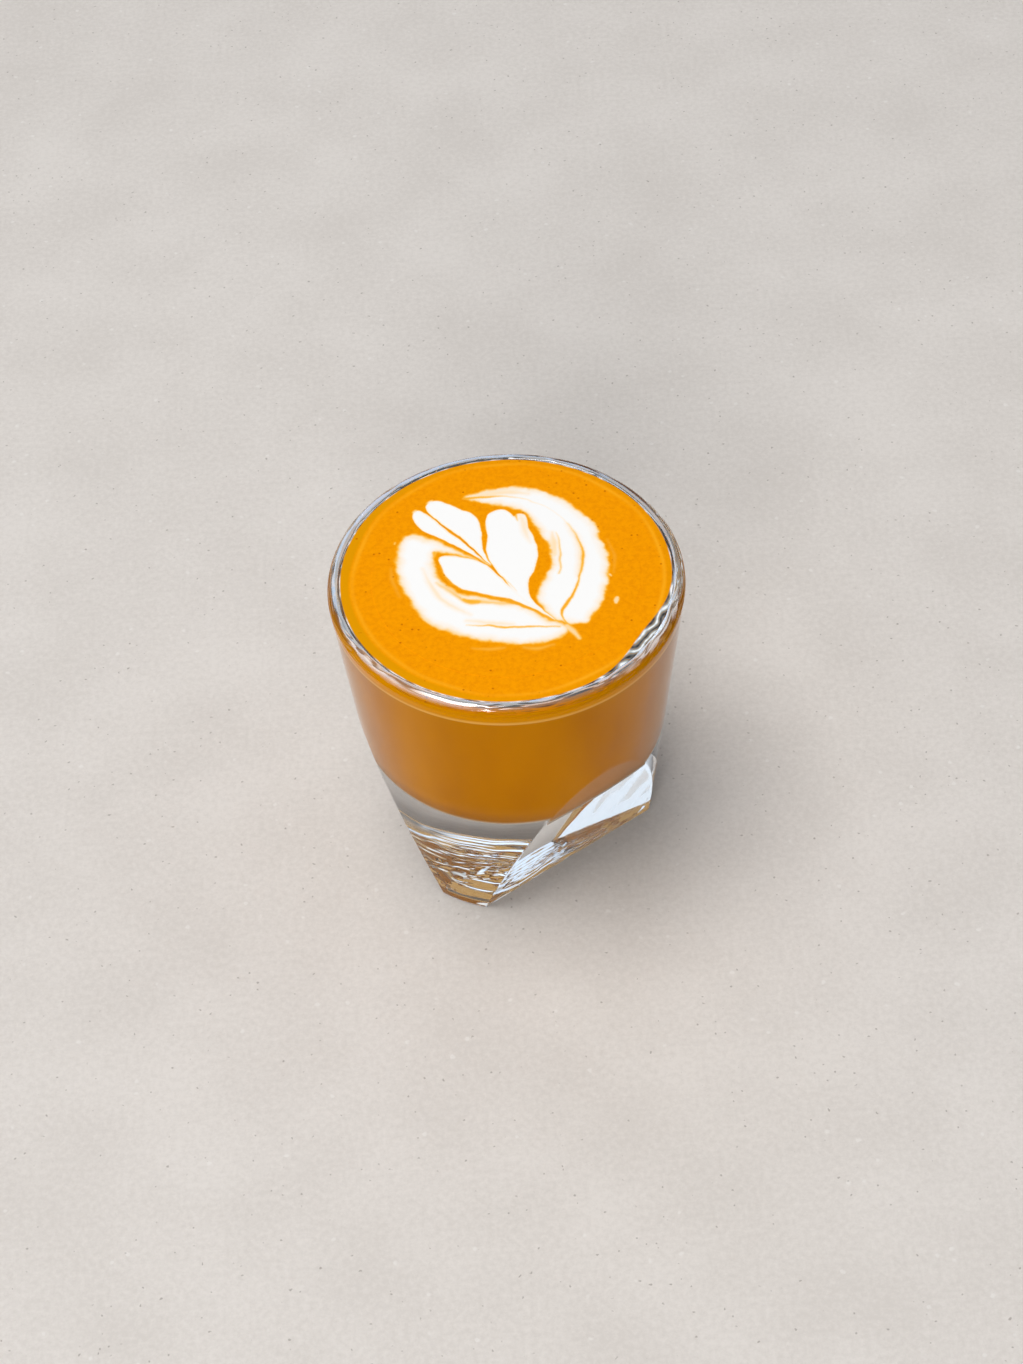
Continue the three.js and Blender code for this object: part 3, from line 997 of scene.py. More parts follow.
    partings: tuple[Stroke, ...] = (
        Stroke([(-8.4, 24.3), (-3.0, 24.5), (2.0, 24.2), (6.6, 22.4), (11.0, 19.2), (14.4, 14.4), (16.4, 9.4),
                (17.0, 4.6), (16.0, -1.0), (14.6, -5.6), (12.4, -9.6), (11.6, -12.2), (12.9, -15.4)],
               (0.35, 0.3, 0.15, 0.08, 0.02, 0.1, 0.24, 0.36, 0.3, 0.4, 0.5, 0.3, 0.1), 0.12, 0.3),
        Stroke([(-15.0, 6.0), (-14.3, 3.6), (-13.5, 1.0), (-12.3, -1.0), (-10.5, -3.0), (-8.0, -4.3),
                (-5.0, -5.4), (-2.0, -6.5), (0.0, -7.2), (2.0, -8.2), (4.0, -9.4), (6.0, -10.7), (8.0, -12.3),
                (9.5, -13.7)], (0.35, 0.45, 0.5, 0.6, 0.4, 0.2), 0.10, 0.28),
        Stroke([(-9.0, -13.8), (-6.0, -14.2), (-4.0, -14.3), (-2.0, -14.8), (0.0, -15.1), (3.0, -15.2),
                (6.0, -15.2), (9.0, -15.6), (11.0, -15.6)], (0.1, 0.3, 0.35, 0.3, 0.15), 0.15, 0.3),
        Stroke([(-15.5, 8.1), (-15.1, 7.2), (-14.8, 6.3)], (0.45, 0.55, 0.4), 0.18, 0.35),
        Stroke([(-17.0, 13.5), (-15.0, 12.3), (-12.0, 10.3), (-10.0, 8.7), (-7.0, 6.3), (-5.0, 4.9),
                (-3.7, 3.4), (-2.4, 2.0), (-1.0, 0.0), (1.0, -2.5), (2.2, -4.6)],
               (0.35, 0.4, 0.35, 0.15, 0.02), 0.25, 0.28),
        Stroke([(-15.0, 18.0), (-12.0, 15.0), (-9.0, 11.5), (-6.5, 8.0), (-5.0, 5.5), (-3.5, 3.0)],
               (0.02, 0.12, 0.12, 0.05), 0.5, 0.24),
        Stroke([(-4.6, 18.2), (-4.3, 15.0), (-4.3, 11.5), (-4.35, 8.0), (-3.4, 4.4)],
               (0.55, 0.45, 0.4, 0.3, 0.1), 0.18, 0.25),
        Stroke([(11.5, 12.5), (12.0, 10.0), (12.1, 7.0), (11.9, 4.0), (12.0, 1.5), (11.5, 0.0)],
               (0.1, 0.28, 0.3, 0.2), 0.28, 0.3),
        Stroke([(2.4, 19.6), (2.9, 18.2), (3.2, 16.6)], (0.5, 0.35, 0.1), 0.2, 0.35),
    )
    thin_foam: tuple[Stroke, ...] = (
        Stroke([(12.4, -15.6), (14.0, -17.5), (15.0, -19.3)], (0.7, 0.6, 0.35), 0.42, 0.5, Laid.ADDS),
        Stroke([(23.7, -8.0), (23.5, -8.8), (23.3, -9.5)], (0.4, 0.55, 0.4), 0.45, 0.3, Laid.ADDS),
        Stroke([(22.5, -1.0), (22.8, -1.4)], (0.25, 0.2), 0.4, 0.25, Laid.ADDS),
        Stroke([(25.9, -12.4), (26.1, -12.7)], (0.2, 0.2), 0.3, 0.25, Laid.ADDS),
        Stroke([(-24.1, 11.3), (-24.0, 11.8)], (0.2, 0.2), 0.3, 0.25, Laid.ADDS),
        Stroke([(-8.0, -20.6), (-4.5, -21.2), (-1.0, -20.9)], (0.2, 0.45, 0.3), 0.16, 0.6, Laid.ADDS),
        Stroke([(3.0, -21.2), (6.0, -21.6), (9.5, -20.8)], (0.3, 0.5, 0.3), 0.18, 0.7, Laid.ADDS),
        Stroke([(-25.0, 4.0), (-24.6, 0.0), (-23.2, -4.5)], (0.2, 0.4, 0.2), 0.14, 0.7, Laid.ADDS),
        Stroke([(22.6, 9.5), (23.8, 4.5), (23.4, -0.5)], (0.2, 0.4, 0.2), 0.13, 0.7, Laid.ADDS),
    )
    rightward: tuple[Waviness, ...] = (Waviness(0.17, 3.4, 11), Waviness(0.05, 1.2, 12))
    backward: tuple[Waviness, ...] = (Waviness(0.17, 3.4, 13), Waviness(0.05, 1.2, 14))
    warp_reaches: Span = (0.6, 1.6)
    soft_from: float = 0.4

    def warped(self, x: np.ndarray, y: np.ndarray, reach: float) -> tuple[np.ndarray, np.ndarray]:
        """Moves the points a little each way by slow and quick noise, so that no edge is a clean curve.

        Args:
            x: places to the right.
            y: places away from the drinker.
            reach: how far the points move.

        Returns:
            The moved places.
        """
        return (x + reach * sum(wave.at(x, y) for wave in self.rightward),
                y + reach * sum(wave.at(x, y) for wave in self.backward))

    def foam(self, x: np.ndarray, y: np.ndarray) -> np.ndarray:
        """How much milk foam shows at each point of the drink's surface.

        Args:
            x: places to the right, in millimetres.
            y: places away from the drinker, in millimetres.

        Returns:
            The most of any leaf, with the soft streaks, the partings and the thin foam laid over it in that
            order; 1 is white foam and 0 is crema.
        """
        narrow, wide = (self.warped(x, y, reach) for reach in self.warp_reaches)
        amounts = [leaf.amount(*(wide if leaf.softness > self.soft_from else narrow)) for leaf in self.leaves]
        foam = np.max(amounts, axis=0)
        for stroke in (*self.soft_streaks, *self.partings, *self.thin_foam):
            foam = stroke.over(foam, *narrow)
        return np.clip(foam, 0.0, 1.0)


@dataclass(frozen=True)
class DrinkSurface:
    """Golden crema with pinholes and freckles, and milk foam where the piece's foam attribute says so.

    Further attributes give the darker rim, partly the thin crema's own colour and partly painted shade, the
    painted highlight beside it, the shaded edge seen through the lip, and a painted clear edge with painted
    reflection strands.
    """

    gold: Colour = (0.93, 0.330, 0.0)
    deep: Colour = (0.84, 0.272, 0.0)
    # olive: the rim's colour, partly the thin crema's own tone and partly painted shade
    rim_olive_and_shade: Colour = (0.74, 0.30, 0.0)
    # bright: the colour of the painted highlight just inside the rim
    bright: Colour = (0.98, 0.42, 0.012)
    shaded: Colour = (0.10, 0.075, 0.055)
    foam_tones: tuple[tuple[float, Colour], ...] = (
        (0.22, (0.98, 0.50, 0.055)), (0.48, (0.98, 0.74, 0.44)), (0.75, (0.975, 0.88, 0.78)),
        (1.0, (0.955, 0.945, 0.93)))
    # strand tones: painted reflections of the surroundings in the clear edge
    reflection_tones: tuple[tuple[float, Colour], ...] = (
        (0.05, (0.035, 0.03, 0.027)), (0.28, (0.20, 0.21, 0.21)), (0.44, (0.40, 0.20, 0.045)),
        (0.56, (0.28, 0.31, 0.31)), (0.76, (0.46, 0.50, 0.50)), (0.92, (0.95, 0.97, 0.98)))
    mottle_scale: float = 900.0
    mottle_range: Span = (0.34, 0.58)
    cover_gain: float = 6.0
    pinhole: Colour = (0.50, 0.11, 0.0)
    pinhole_scale: float = 560.0
    pinhole_share: float = 0.78
    pinhole_edge: Span = (0.19, 0.08)
    pinhole_strength: float = 0.8
    crowd_scale: float = 60.0
    crowd_gain: float = 0.35
    bare_gain: float = 2.2
    relief: float = 0.14
    relief_distance: float = 0.00012
    mottle_relief: float = 0.5
    foam_relief: float = 0.6

    def material(self) -> bpy.types.Material:
        """The surface as a material."""
        sheet = MaterialSheet("crema_and_foam")
        foam, rim, painted_highlight, shade, clear, reflection_strand = (
            sheet.value_of(name) for name in ("foam", "rim", "painted_highlight", "shade", "clear", "reflection_strand"))
        mottle = sheet.noise(self.mottle_scale, 6.0, 0.7).outputs["Fac"]
        low, high = self.mottle_range
        crema = sheet.ramp(mottle, [(low, self.deep), (high, self.gold)])
        # the rim's colour is partly painted shade, and the painted highlight lies just inside it
        crema = sheet.blend(painted_highlight, sheet.blend(rim, crema, self.rim_olive_and_shade), self.bright)
        tone = sheet.ramp(foam, [(0.0, self.gold), *self.foam_tones])
        laid = sheet.blend(sheet.math("MULTIPLY", foam, self.cover_gain, clamp=True), crema, tone)
        hole = self.pinholes(sheet, foam)
        colour = sheet.blend(shade, sheet.blend(hole, laid, self.pinhole), self.shaded)
        # the clear edge: painted glass with painted reflection strands
        colour = sheet.blend(clear, colour, sheet.ramp(reflection_strand, list(self.reflection_tones)))
        grain = sheet.math("SUBTRACT", sheet.math("MULTIPLY", mottle, self.mottle_relief), hole)
        height = sheet.math("ADD", grain, sheet.math("MULTIPLY", foam, self.foam_relief))
        bump = sheet.add("ShaderNodeBump", {"Strength": self.relief, "Distance": self.relief_distance})
        sheet.join(height, bump, "Height")
        shader = sheet.add("ShaderNodeBsdfPrincipled", {"Roughness": 0.42, "Specular IOR Level": 0.02})
        sheet.join(bump.outputs["Normal"], shader, "Normal")
        return sheet.finish(sheet.join(colour, shader, "Base Color"))

    def pinholes(self, sheet: MaterialSheet, foam: Socket) -> Socket:
        """Small dark holes in the crema.

        Args:
            sheet: the material's sheet.
            foam: how much foam covers the crema.

        Returns:
            1 in the middles of some of a Voronoi pattern's cells, more of them where slow noise is high, and
            0 elsewhere and under foam.
        """
        pattern = sheet.add("ShaderNodeTexVoronoi", {"Scale": self.pinhole_scale})
        cells = sheet.join(sheet.place(), pattern, "Vector").outputs
        crowd = sheet.noise(self.crowd_scale, 2.0).outputs["Fac"]
        chance = sheet.math("ADD", cells["Color"], sheet.math("MULTIPLY", crowd, self.crowd_gain))
        chosen = sheet.math("GREATER_THAN", chance, self.pinhole_share)
        dot = sheet.rise(cells["Distance"], *self.pinhole_edge, (0.0, self.pinhole_strength))
        covered = sheet.math("MULTIPLY", foam, self.bare_gain)
        bare = sheet.math("SUBTRACT", 1.0, covered, clamp=True)
        return sheet.math("MULTIPLY", sheet.math("MULTIPLY", chosen, dot), bare)


@dataclass(frozen=True)
class PaintedClearEdge:
    """A painted clear edge with painted reflections, where the drink draws back from the lip; widest at the
    right.
    """

    direction: float = -33.0
    spread: float = 17.0
    width: float = 2.3
    least_width: float = 0.18
    softness: float = 0.12
    girth: float = 36.0
    spacing: float = 2.1
    slant: float = 0.30
    contrast: float = 0.42
    bends: tuple[Waviness, ...] = (Waviness(2.6, 9.0, 51), Waviness(0.7, 3.6, 52))
    flecks: Waviness = Waviness(0.07, 1.8, 53)

    def fields(self, angle: np.ndarray, edge: np.ndarray) -> tuple[np.ndarray, np.ndarray]:
        """How much of the drink's surface is painted as clear glass, and the painted reflection strands in it.

        Args:
            angle: directions in radians, a row.
            edge: distances from the drink's outer edge, a column.

        Returns:
            1 where it is clear, within a width that falls off from its middle as a bell; and a cosine of the
            distance, whose phase turns with the angle and with slow noise, held to 0..1.
        """
        off = (np.degrees(angle) - self.direction + 180.0) % 360.0 - 180.0
        width = self.width * np.exp(-((off / self.spread) ** 2)) + self.least_width
        clear = 1.0 - smooth_step(width - self.softness, width + self.softness, edge * np.ones_like(angle))
        x, y = self.girth * np.cos(angle) + edge, self.girth * np.sin(angle) - edge
        turn = sum(bend.at(x, y) for bend in self.bends)
        phase = 2.0 * math.pi * edge / self.spacing + self.slant * off + turn
        reflection_strand = 0.5 + self.contrast * np.cos(phase) + self.flecks.at(x, y)
        return clear, np.clip(reflection_strand, 0.0, 1.0)


@dataclass(frozen=True)
class Drink:
    """What fills the glass: milky coffee, a ring of crema on it at the wall, and the fern's disc."""

    form: GlassForm = GlassForm()
    fern: Fern = Fern()
    painted_clear_edge: PaintedClearEdge = PaintedClearEdge()
    surface: float = 78.7
    crema_depth: float = 4.1
    wall_reach: float = 0.06
    coffee_rows: int = 24
    coffee_columns: int = 240
    floor_shares: tuple[float, ...] = (0.05, 0.35, 0.7)
    lid_shares: tuple[float, ...] = (0.98, 0.5, 0.05)
    side_rows: int = 8
    lip_steps: int = 5
    brim_drop: float = 0.12
    brim_width: float = 2.6
    brim_steps: int = 23
    brim_crowding: float = 1.2
    brim_roundness: float = 2.2
    flat_rows: int = 12
    shaded_heights: Span = (75.2, 75.8)
    ring_columns: int = 600
    ring_sink: float = 1.0
    well_shares: tuple[float, ...] = (1.0, 0.5, 0.05)
    top_margin: float = 1.0
    slow: Waviness = Waviness(1.0, 6.0, 31)
    slow_girth: float = 10.0
    # where the rim's painted shade is strong and wide
    rim_direction: float = 190.0
    rim_facing: Span = (-0.2, 1.0)
    rim_width: tuple[float, float, float] = (1.3, 1.2, 0.3)
    rim_strength: Span = (0.35, 0.65)
    rim_fade: Span = (0.7, 0.2)
    # the painted highlight's strength, place and width
    highlight_strength: Span = (0.55, 0.25)
    highlight_offset: float = 0.5
    highlight_width: float = 0.42
    meeting: Span = (28.5, 29.3)
    meeting_dip: float = 0.012
    crisp: float = 0.02
    disc_columns: int = 840
    disc_rows: int = 112
    disc_pole: float = 0.13
    disc_depth: float = 0.6
    disc_under_share: float = 0.3

    def turned(self, profile: np.ndarray, columns: int) -> np.ndarray:
        """Turns pairs of radius and height about the axis into a grid of points."""
        angle = np.linspace(0.0, 2.0 * math.pi, columns, endpoint=False)[None, :]
        radius, height = profile[:, :1], profile[:, 1:] * np.ones_like(angle)
        return np.stack([radius * np.cos(angle), radius * np.sin(angle), height], axis=-1)

    def placed(self, piece: bpy.types.Object, material: bpy.types.Material, slot: str,
               *nodes: str) -> bpy.types.Object:
        """Dresses a piece, hangs it on the root and hides the parts that it stands in for."""
        piece.data.materials.append(material)
        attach(piece, ROOT)
        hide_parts(*nodes)
        return piece

    def build_coffee(self) -> bpy.types.Object:
        """Makes the coffee below the crema, reaching just into the glass so that no gap shows."""
        form = self.form
        top = self.surface - self.crema_depth
        bottom = form.cavity_floor - self.wall_reach
        floor = level_rows(form.cavity_floor_radius, self.floor_shares, bottom)
        corner = form.cavity_wall()[1:][::-1] + np.array([self.wall_reach, -self.wall_reach])
        heights = np.linspace(form.cavity_corner_top, top, self.coffee_rows)[1:]
        wall = np.stack([form.cavity_radius(heights) + self.wall_reach, heights], axis=-1)
        lid = level_rows(wall[-1, 0], self.lid_shares, top)
        profile = np.vstack([floor, corner, wall, lid])
        piece = grid_piece("coffee_body", self.turned(profile, self.coffee_columns))
        return self.placed(piece, MilkyCoffee().material(), "coffee_with_milk", "coffee")

    def brim(self) -> np.ndarray:
        """The crema's edge up the wall and round the lip's inside, then its rounded brim.

        Returns:
            Pairs of radius and height; over the brim, the height rises as 1 - (1 - s)^2.2.
        """
        form = self.form
        base = self.surface - self.crema_depth
        side_heights = np.linspace(base, form.cavity_rim_height, self.side_rows)
        side = np.stack([form.cavity_radius(side_heights) + self.wall_reach, side_heights], axis=-1)
        rise = self.surface - self.brim_drop - form.cavity_rim_height
        turn = math.degrees(math.asin(rise / form.lip_inner_round))
        reach = (form.lip_inner_round - self.wall_reach,) * 2
        centre = (form.lip_top_radius, form.cavity_rim_height)
        lip = arc_profile(centre, reach, 180.0, 180.0 - turn, self.lip_steps)
        inward = np.linspace(0.0, 1.0, self.brim_steps + 1)[1:] ** self.brim_crowding
        swell = self.brim_drop * (1.0 - (1.0 - inward) ** self.brim_roundness)
        top = np.stack([lip[-1, 0] - self.brim_width * inward, lip[-1, 1] + swell], axis=-1)
        return np.vstack([side[:-1], lip, top])

    def ring_profile(self, brim: np.ndarray) -> np.ndarray:
        """The ring's whole profile: its underside, the brim, the level top, and the well that takes the disc.

        Args:
            brim: the crema's edge, as radius and height.

        Returns:
            Pairs of radius and height.
        """
        level = brim[-1, 1]
        inner, outer = self.meeting
        under = level_rows(brim[0, 0], self.lid_shares[::-1], self.surface - self.crema_depth)
        flat_radius = np.linspace(brim[-1, 0], outer, self.flat_rows)[1:]
        flat = np.stack([flat_radius, np.full(len(flat_radius), level)], axis=-1)
        dip, sunk = level - self.meeting_dip, self.surface - self.ring_sink
        well = np.array([[inner + self.crisp, dip], [inner, dip]])
        bottom = level_rows(inner, self.well_shares, sunk)
        return np.vstack([under, brim, flat, well, bottom])

    def rim_shade_and_highlight_fields(self, angle: np.ndarray, edge: np.ndarray,
                   onto: np.ndarray) -> tuple[np.ndarray, np.ndarray]:
        """The darker rim along the wall, wider at the left, partly the thin crema's own colour and partly
        painted shade on its slope; and the painted highlight just inside it.

        Args:
            angle: directions in radians, a row.
            edge: distances from the drink's outer edge, a column.
            onto: 1 on the top of the crema and 0 at its side, a column.

        Returns:
            The rim, which fades out over its width, and the painted highlight, a bell round a distance past
            that width.
        """
        slow = self.slow.at(np.cos(angle) * self.slow_girth, np.sin(angle) * self.slow_girth)
        leftward = smooth_step(*self.rim_facing, np.cos(angle - math.radians(self.rim_direction)))
        plain, more_left, uneven = self.rim_width
        width = plain + more_left * leftward + uneven * slow
        least, more = self.rim_strength
        fade = 1.0 - smooth_step(self.rim_fade[0] * width, width + self.rim_fade[1], edge)
        bell = np.exp(-(((edge - width - self.highlight_offset) / self.highlight_width) ** 2))
        strength, change = self.highlight_strength
        return (least + more * leftward) * onto * fade, onto * (strength + change * slow) * bell

    def build_ring(self) -> bpy.types.Object:
        """Makes the crema along the wall, down to the coffee, as one closed ring under and round the disc."""
        brim = self.brim()
        profile = self.ring_profile(brim)
        edge = (brim[:, 0].max() - profile[:, 0])[:, None]
        low, high = self.surface - self.crema_depth + self.top_margin, self.surface - self.top_margin
        onto = smooth_step(low, high, profile[:, 1])[:, None]
        angle = np.linspace(0.0, 2.0 * math.pi, self.ring_columns, endpoint=False)[None, :]
        # the rim's partly painted shade and the painted highlight
        rim, painted_highlight = self.rim_shade_and_highlight_fields(angle, edge, onto)
        # the painted clear edge and its painted reflection strands
        clear, reflection_strand = self.painted_clear_edge.fields(angle, edge)
        side = slice(len(self.lid_shares), len(self.lid_shares) + len(brim) - self.brim_steps)
        shade = np.zeros(rim.shape)
        shade[side] = smooth_step(*self.shaded_heights, profile[side, 1:])
        piece = grid_piece("crema_ring", self.turned(profile, self.ring_columns), {
            "foam": np.zeros(rim.shape), "rim": rim, "painted_highlight": painted_highlight, "shade": shade, "clear": clear * onto,
            "reflection_strand": reflection_strand})
        return self.placed(piece, DrinkSurface().material(), "crema", "crema")

    def build_disc(self) -> bpy.types.Object:
        """Makes the middle of the surface, a shallow disc that carries the fern's foam as a field."""
        inner, outer = self.meeting
        under, dip = self.surface - self.disc_depth, self.surface - self.meeting_dip
        edge = [[outer * self.disc_under_share, under], [outer, under], [outer, dip],
                [outer - self.crisp, dip]]
        radius = np.linspace(inner, self.disc_pole, self.disc_rows)
        top = np.stack([radius, np.full(self.disc_rows, self.surface)], axis=-1)
        grid = self.turned(np.vstack([edge, top]), self.disc_columns)
        foam = np.zeros(grid.shape[:2])
        foam[len(edge):] = self.fern.foam(grid[len(edge):, :, 0], grid[len(edge):, :, 1])
        none = np.zeros(foam.shape)
        fields = {"foam": foam, **{name: none for name in ("rim", "painted_highlight", "shade", "clear", "reflection_strand")}}
        leaves = sorted(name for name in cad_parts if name.startswith("foam_"))
        piece = grid_piece("fern_disc", grid, fields)
        return self.placed(piece, DrinkSurface().material(), "milk_foam", *leaves)


@dataclass(frozen=True)
class PhotoView:
    """The camera: where it stands, and at which pixel of the 1023 by 1364 frame the rim's middle lies."""

    frame_width: float = 1023.0
    frame_height: float = 1364.0
    focal_pixels: float = 3200.0
    distance: float = 0.69575
    elevation: float = 46.557
    roll: float = 2.911
    rim_pixel: Span = (506.1, 578.3)
    rim_height: float = 0.0780
    sensor: float = 36.0
    clip_start: float = 0.01

    def build(self) -> bpy.types.Object:
        """Makes the camera: it faces the rim's middle, is rolled, then turned to put it at its pixel."""
        data = bpy.data.cameras.new("photo_view")
        data.sensor_width = self.sensor
        data.lens = self.focal_pixels * self.sensor / self.frame_height
        data.clip_start = self.clip_start
        camera = bpy.data.objects.new("photo_view", data)
        bpy.context.scene.collection.objects.link(camera)
        slope = math.radians(self.elevation)
        back, up = self.distance * math.cos(slope), self.distance * math.sin(slope)
        place = Vector((0.0, -back, self.rim_height + up))
        right, down = self.rim_pixel[0] - self.frame_width / 2.0, self.rim_pixel[1] - self.frame_height / 2.0
        toward = Vector((right, -down, -self.focal_pixels)).normalized()
        facing = Matrix.Rotation(math.pi / 2.0 - slope, 4, "X")
        rolled = Matrix.Rotation(math.radians(self.roll), 4, "Z").transposed()
        aimed = Vector((0.0, 0.0, -1.0)).rotation_difference(toward).to_matrix().to_4x4().transposed()
        camera.matrix_world = Matrix.Translation(place) @ facing @ rolled @ aimed
        bpy.context.scene.camera = camera
        return camera


@dataclass(frozen=True)
class Specks:
    """Scattered specks: their cells' scale, the share of cells that hold one, their size and strength."""

    colour: Colour
    scale: float
    share: float
    size: float
    strength: float
    bend: float = 0.0012
    bend_scale: float = 1.6

    def over(self, sheet: MaterialSheet, colour: Socket) -> Socket:
        """Lays the specks over a colour.

        Args:
            sheet: the material's sheet.
            colour: what lies under them.

        Returns:
            The colour, with the specks' own in the middles of a share of a Voronoi pattern's cells, whose
            outlines are bent by noise.
        """
        moved = sheet.add("ShaderNodeMixRGB", {"Fac": self.bend}, blend_type="ADD")
        sheet.join(sheet.place(), moved, "Color1")
        sheet.join(sheet.noise(self.scale * self.bend_scale, 2.0).outputs["Color"], moved, "Color2")
        pattern = sheet.add("ShaderNodeTexVoronoi", {"Scale": self.scale})
        cells = sheet.join(moved.outputs["Color"], pattern, "Vector").outputs
        random = sheet.join(cells["Color"], sheet.add("ShaderNodeSeparateColor"), "Color").outputs["Red"]
        chosen = sheet.math("LESS_THAN", random, self.share)
        dot = sheet.rise(cells["Distance"], self.size, self.size * 0.5)
        amount = sheet.math("MULTIPLY", sheet.math("MULTIPLY", chosen, dot), self.strength)
        return sheet.blend(amount, colour, self.colour)


@dataclass(frozen=True)
class PaleFloor:
    """A plain pale floor of fine-grained stone: soft clouds, a close grain, and scattered pores and chips."""

    half_size: float = 2.0
    light: Colour = (0.74, 0.695, 0.655)
    dark: Colour = (0.66, 0.615, 0.575)
    tone_range: Span = (0.40, 0.60)
    cloud_scale: float = 34.0
    cloud_share: float = 0.35
    grain_scale: float = 720.0
    chips: Specks = Specks((0.84, 0.81, 0.78), 300.0, 0.12, 0.2, 0.5)
    pores: Specks = Specks((0.36, 0.32, 0.29), 480.0, 0.28, 0.15, 0.75)

    def material(self) -> bpy.types.Material:
        """The floor's matt finish."""
        sheet = MaterialSheet("pale_floor")
        cloud = sheet.noise(self.cloud_scale, 3.0).outputs["Fac"]
        grain = sheet.noise(self.grain_scale, 6.0, 0.7).outputs["Fac"]
        mixed = sheet.math("ADD", sheet.math("MULTIPLY", cloud, self.cloud_share),
                           sheet.math("MULTIPLY", grain, 1.0 - self.cloud_share))
        low, high = self.tone_range
        colour = sheet.ramp(mixed, [(low, self.dark), (high, self.light)])
        for specks in (self.chips, self.pores):
            colour = specks.over(sheet, colour)
        shader = sheet.add("ShaderNodeBsdfPrincipled", {"Roughness": 0.75, "Specular IOR Level": 0.2})
        return sheet.finish(sheet.join(colour, shader, "Base Color"))

    def build(self) -> bpy.types.Object:
        """Makes the floor, which isn't part of the object."""
        mesh = bpy.data.meshes.new("floor")
        s = self.half_size
        mesh.from_pydata([(-s, -s, 0.0), (s, -s, 0.0), (s, s, 0.0), (-s, s, 0.0)], [], [(0, 1, 2, 3)])
        floor = bpy.data.objects.new("floor", mesh)
        bpy.context.scene.collection.objects.link(floor)
        mesh.materials.append(self.material())
        return floor


@dataclass(frozen=True)
class SoftLight:
    """A large soft lamp, which lights matt surfaces and isn't mirrored in the glass."""

    name: str
    place: tuple[float, float, float]
    size: float
    power: float
    colour: Colour
    target: tuple[float, float, float] = (0.0, 0.0, 0.04)

    def build(self) -> bpy.types.Object:
        """Makes the lamp, turned to face the drink."""
        data = bpy.data.lights.new(self.name, "AREA")
        data.shape = "SQUARE"
        data.size = self.size
        data.energy = self.power
        data.color = self.colour
        lamp = bpy.data.objects.new(self.name, data)
        bpy.context.scene.collection.objects.link(lamp)
        lamp.location = self.place
        lamp.visible_glossy = False
        lamp.visible_transmission = False
        lamp.rotation_euler = (Vector(self.target) - Vector(self.place)).to_track_quat("-Z", "Y").to_euler()
        return lamp


@dataclass(frozen=True)
class SoftPanel:
    """A soft bright area in the surroundings, as of a window or a white board, with its angles in degrees."""

    azimuth: float
    elevation: float
    half_angle: float
    colour: Colour
    softness: float = 0.35

    def direction(self) -> tuple[float, float, float]:
        """The unit vector towards the panel's middle."""
        turn, rise = math.radians(self.azimuth), math.radians(self.elevation)
        return (math.cos(rise) * math.cos(turn), math.cos(rise) * math.sin(turn), math.sin(rise))

    def over(self, sheet: NodeSheet, toward: Socket, light: Socket) -> Socket:
        """Adds the panel to the surroundings.

        Args:
            sheet: the world's sheet.
            toward: the direction looked in.
            light: the light from there so far.

        Returns:
            The light, with the panel's colour by a soft step on the cosine of the angle to its middle.
        """
        facing = sheet.join(toward, sheet.add("ShaderNodeVectorMath", operation="DOT_PRODUCT"), 0)
        facing.inputs[1].default_value = self.direction()
        outer, inner = (math.cos(math.radians(self.half_angle * (1.0 + change)))
                        for change in (self.softness, -self.softness))
        amount = sheet.rise(facing.outputs["Value"], outer, inner, kind="SMOOTHSTEP")
        return sheet.blend(amount, light, self.colour)


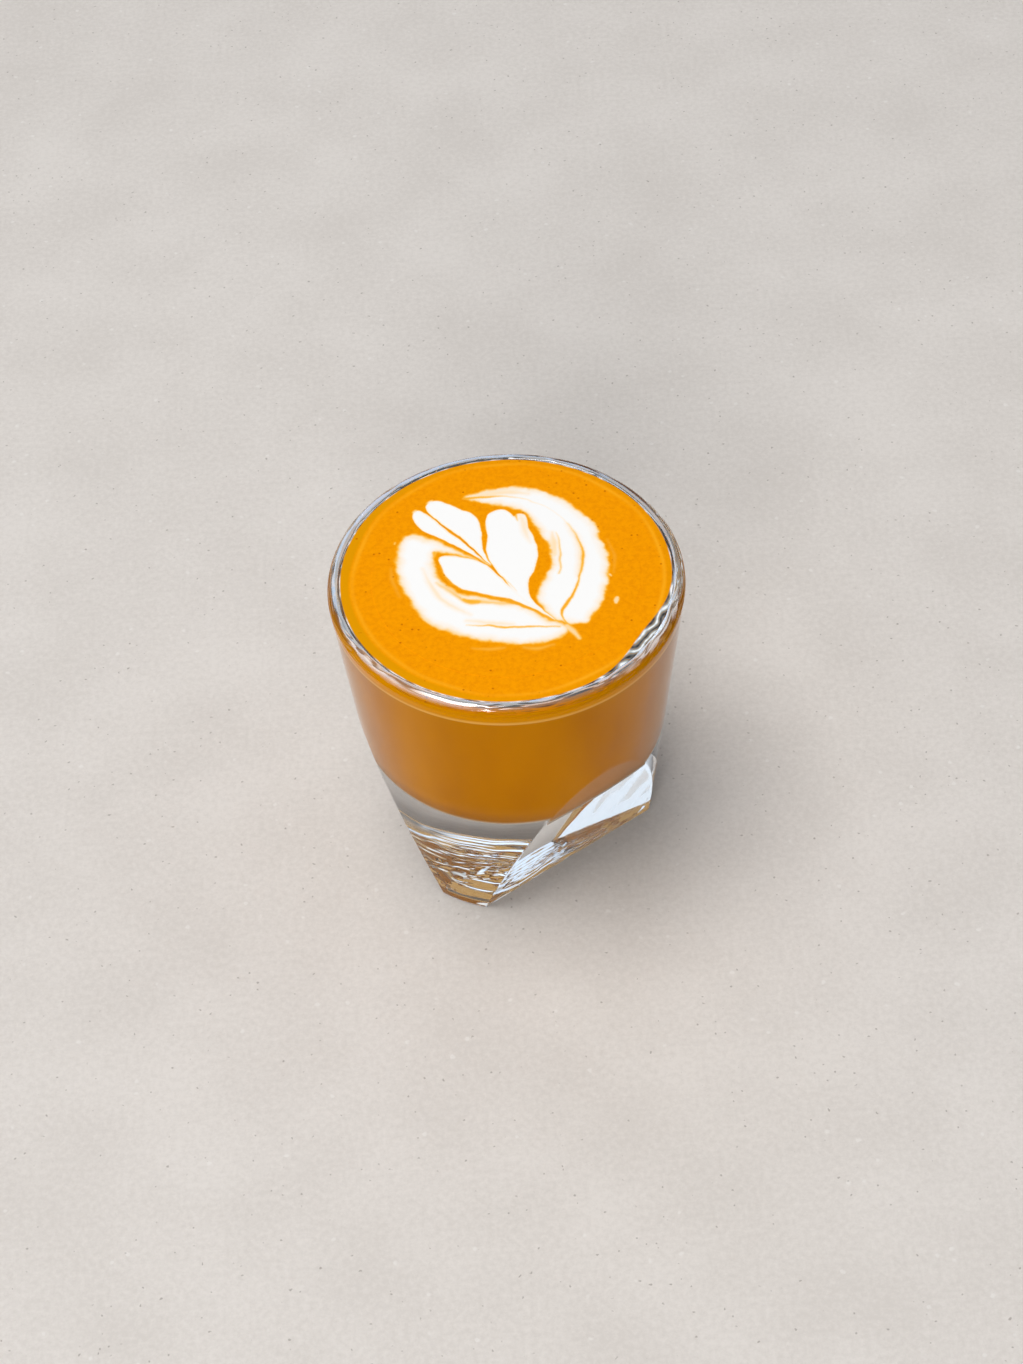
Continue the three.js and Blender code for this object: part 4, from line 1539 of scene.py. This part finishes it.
@dataclass(frozen=True)
class Surroundings:
    """What the glass reflects: dim all round, lighter overhead, with a few soft bright panels.

    Matt surfaces get most of their light from the lamps, so there the surroundings are dimmed to a fill.
    """

    fill: float = 0.46
    sky: tuple[tuple[float, Colour], ...] = (
        (0.0, (0.25, 0.24, 0.23)), (0.5, (0.06, 0.06, 0.065)), (0.62, (0.08, 0.085, 0.095)),
        (0.85, (0.18, 0.19, 0.20)), (1.0, (0.20, 0.21, 0.22)))
    panels: tuple[SoftPanel, ...] = (
        SoftPanel(-146.0, 32.0, 30.0, (1.00, 1.14, 1.30)),
        SoftPanel(106.0, 26.0, 24.0, (0.95, 1.18, 1.50)),
        SoftPanel(90.0, 54.0, 14.0, (0.85, 0.88, 0.90)),
        SoftPanel(180.0, 78.0, 11.0, (2.4, 2.45, 2.5)),
        SoftPanel(-108.0, 33.0, 5.0, (7.0, 7.0, 7.0)),
        SoftPanel(160.0, 45.0, 16.0, (1.2, 1.3, 1.4)),
        SoftPanel(20.0, 40.0, 18.0, (1.0, 1.05, 1.1)),
    )

    def build(self) -> None:
        """Makes the world: a ramp over height, to which each panel adds a soft disc of its own colour."""
        world = bpy.data.worlds.new("surroundings")
        bpy.context.scene.world = world
        sheet = NodeSheet(world)
        toward = sheet.add("ShaderNodeTexCoord").outputs["Generated"]
        up = sheet.join(toward, sheet.add("ShaderNodeSeparateXYZ"), "Vector").outputs["Z"]
        light = sheet.ramp(sheet.rise(up, -1.0, 1.0), list(self.sky))
        for panel in self.panels:
            light = panel.over(sheet, toward, light)
        path = sheet.add("ShaderNodeLightPath").outputs
        seen_in_glass = sheet.math("MAXIMUM", path["Is Glossy Ray"], path["Is Transmission Ray"])
        background = sheet.join(light, sheet.add("ShaderNodeBackground"), "Color")
        sheet.join(sheet.rise(seen_in_glass, 0.0, 1.0, (self.fill, 1.0)), background, "Strength")
        sheet.join(background.outputs["Background"], sheet.add("ShaderNodeOutputWorld"), "Surface")


@dataclass(frozen=True)
class Studio:
    """The floor, the lamps, the surroundings and the camera."""

    lamps: tuple[SoftLight, ...] = (
        SoftLight("key_lamp", (-0.45, -0.10, 2.10), 1.15, 27.0, (1.0, 0.975, 0.94)),
        SoftLight("front_lamp", (-0.35, -1.90, 1.05), 1.00, 19.8, (1.0, 0.99, 0.98)),
    )

    def build(self) -> None:
        """Sets up all that lights and frames the drink."""
        PaleFloor().build()
        for lamp in self.lamps:
            lamp.build()
        Surroundings().build()
        PhotoView().build()
        bpy.context.scene.view_settings.view_transform = "Standard"
        bpy.context.scene.view_settings.look = "None"


def main() -> None:
    """Builds the drink, its glass and the studio in order, and reports each piece."""
    logging.basicConfig(level=logging.INFO, format="%(message)s")
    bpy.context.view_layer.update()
    drink = Drink()
    for maker in (Tumbler().build, drink.build_coffee, drink.build_ring, drink.build_disc):
        piece = maker()
        log.info("%s: %d faces", piece.name, len(piece.data.polygons))
    Studio().build()


if __name__ == "__main__":
    main()
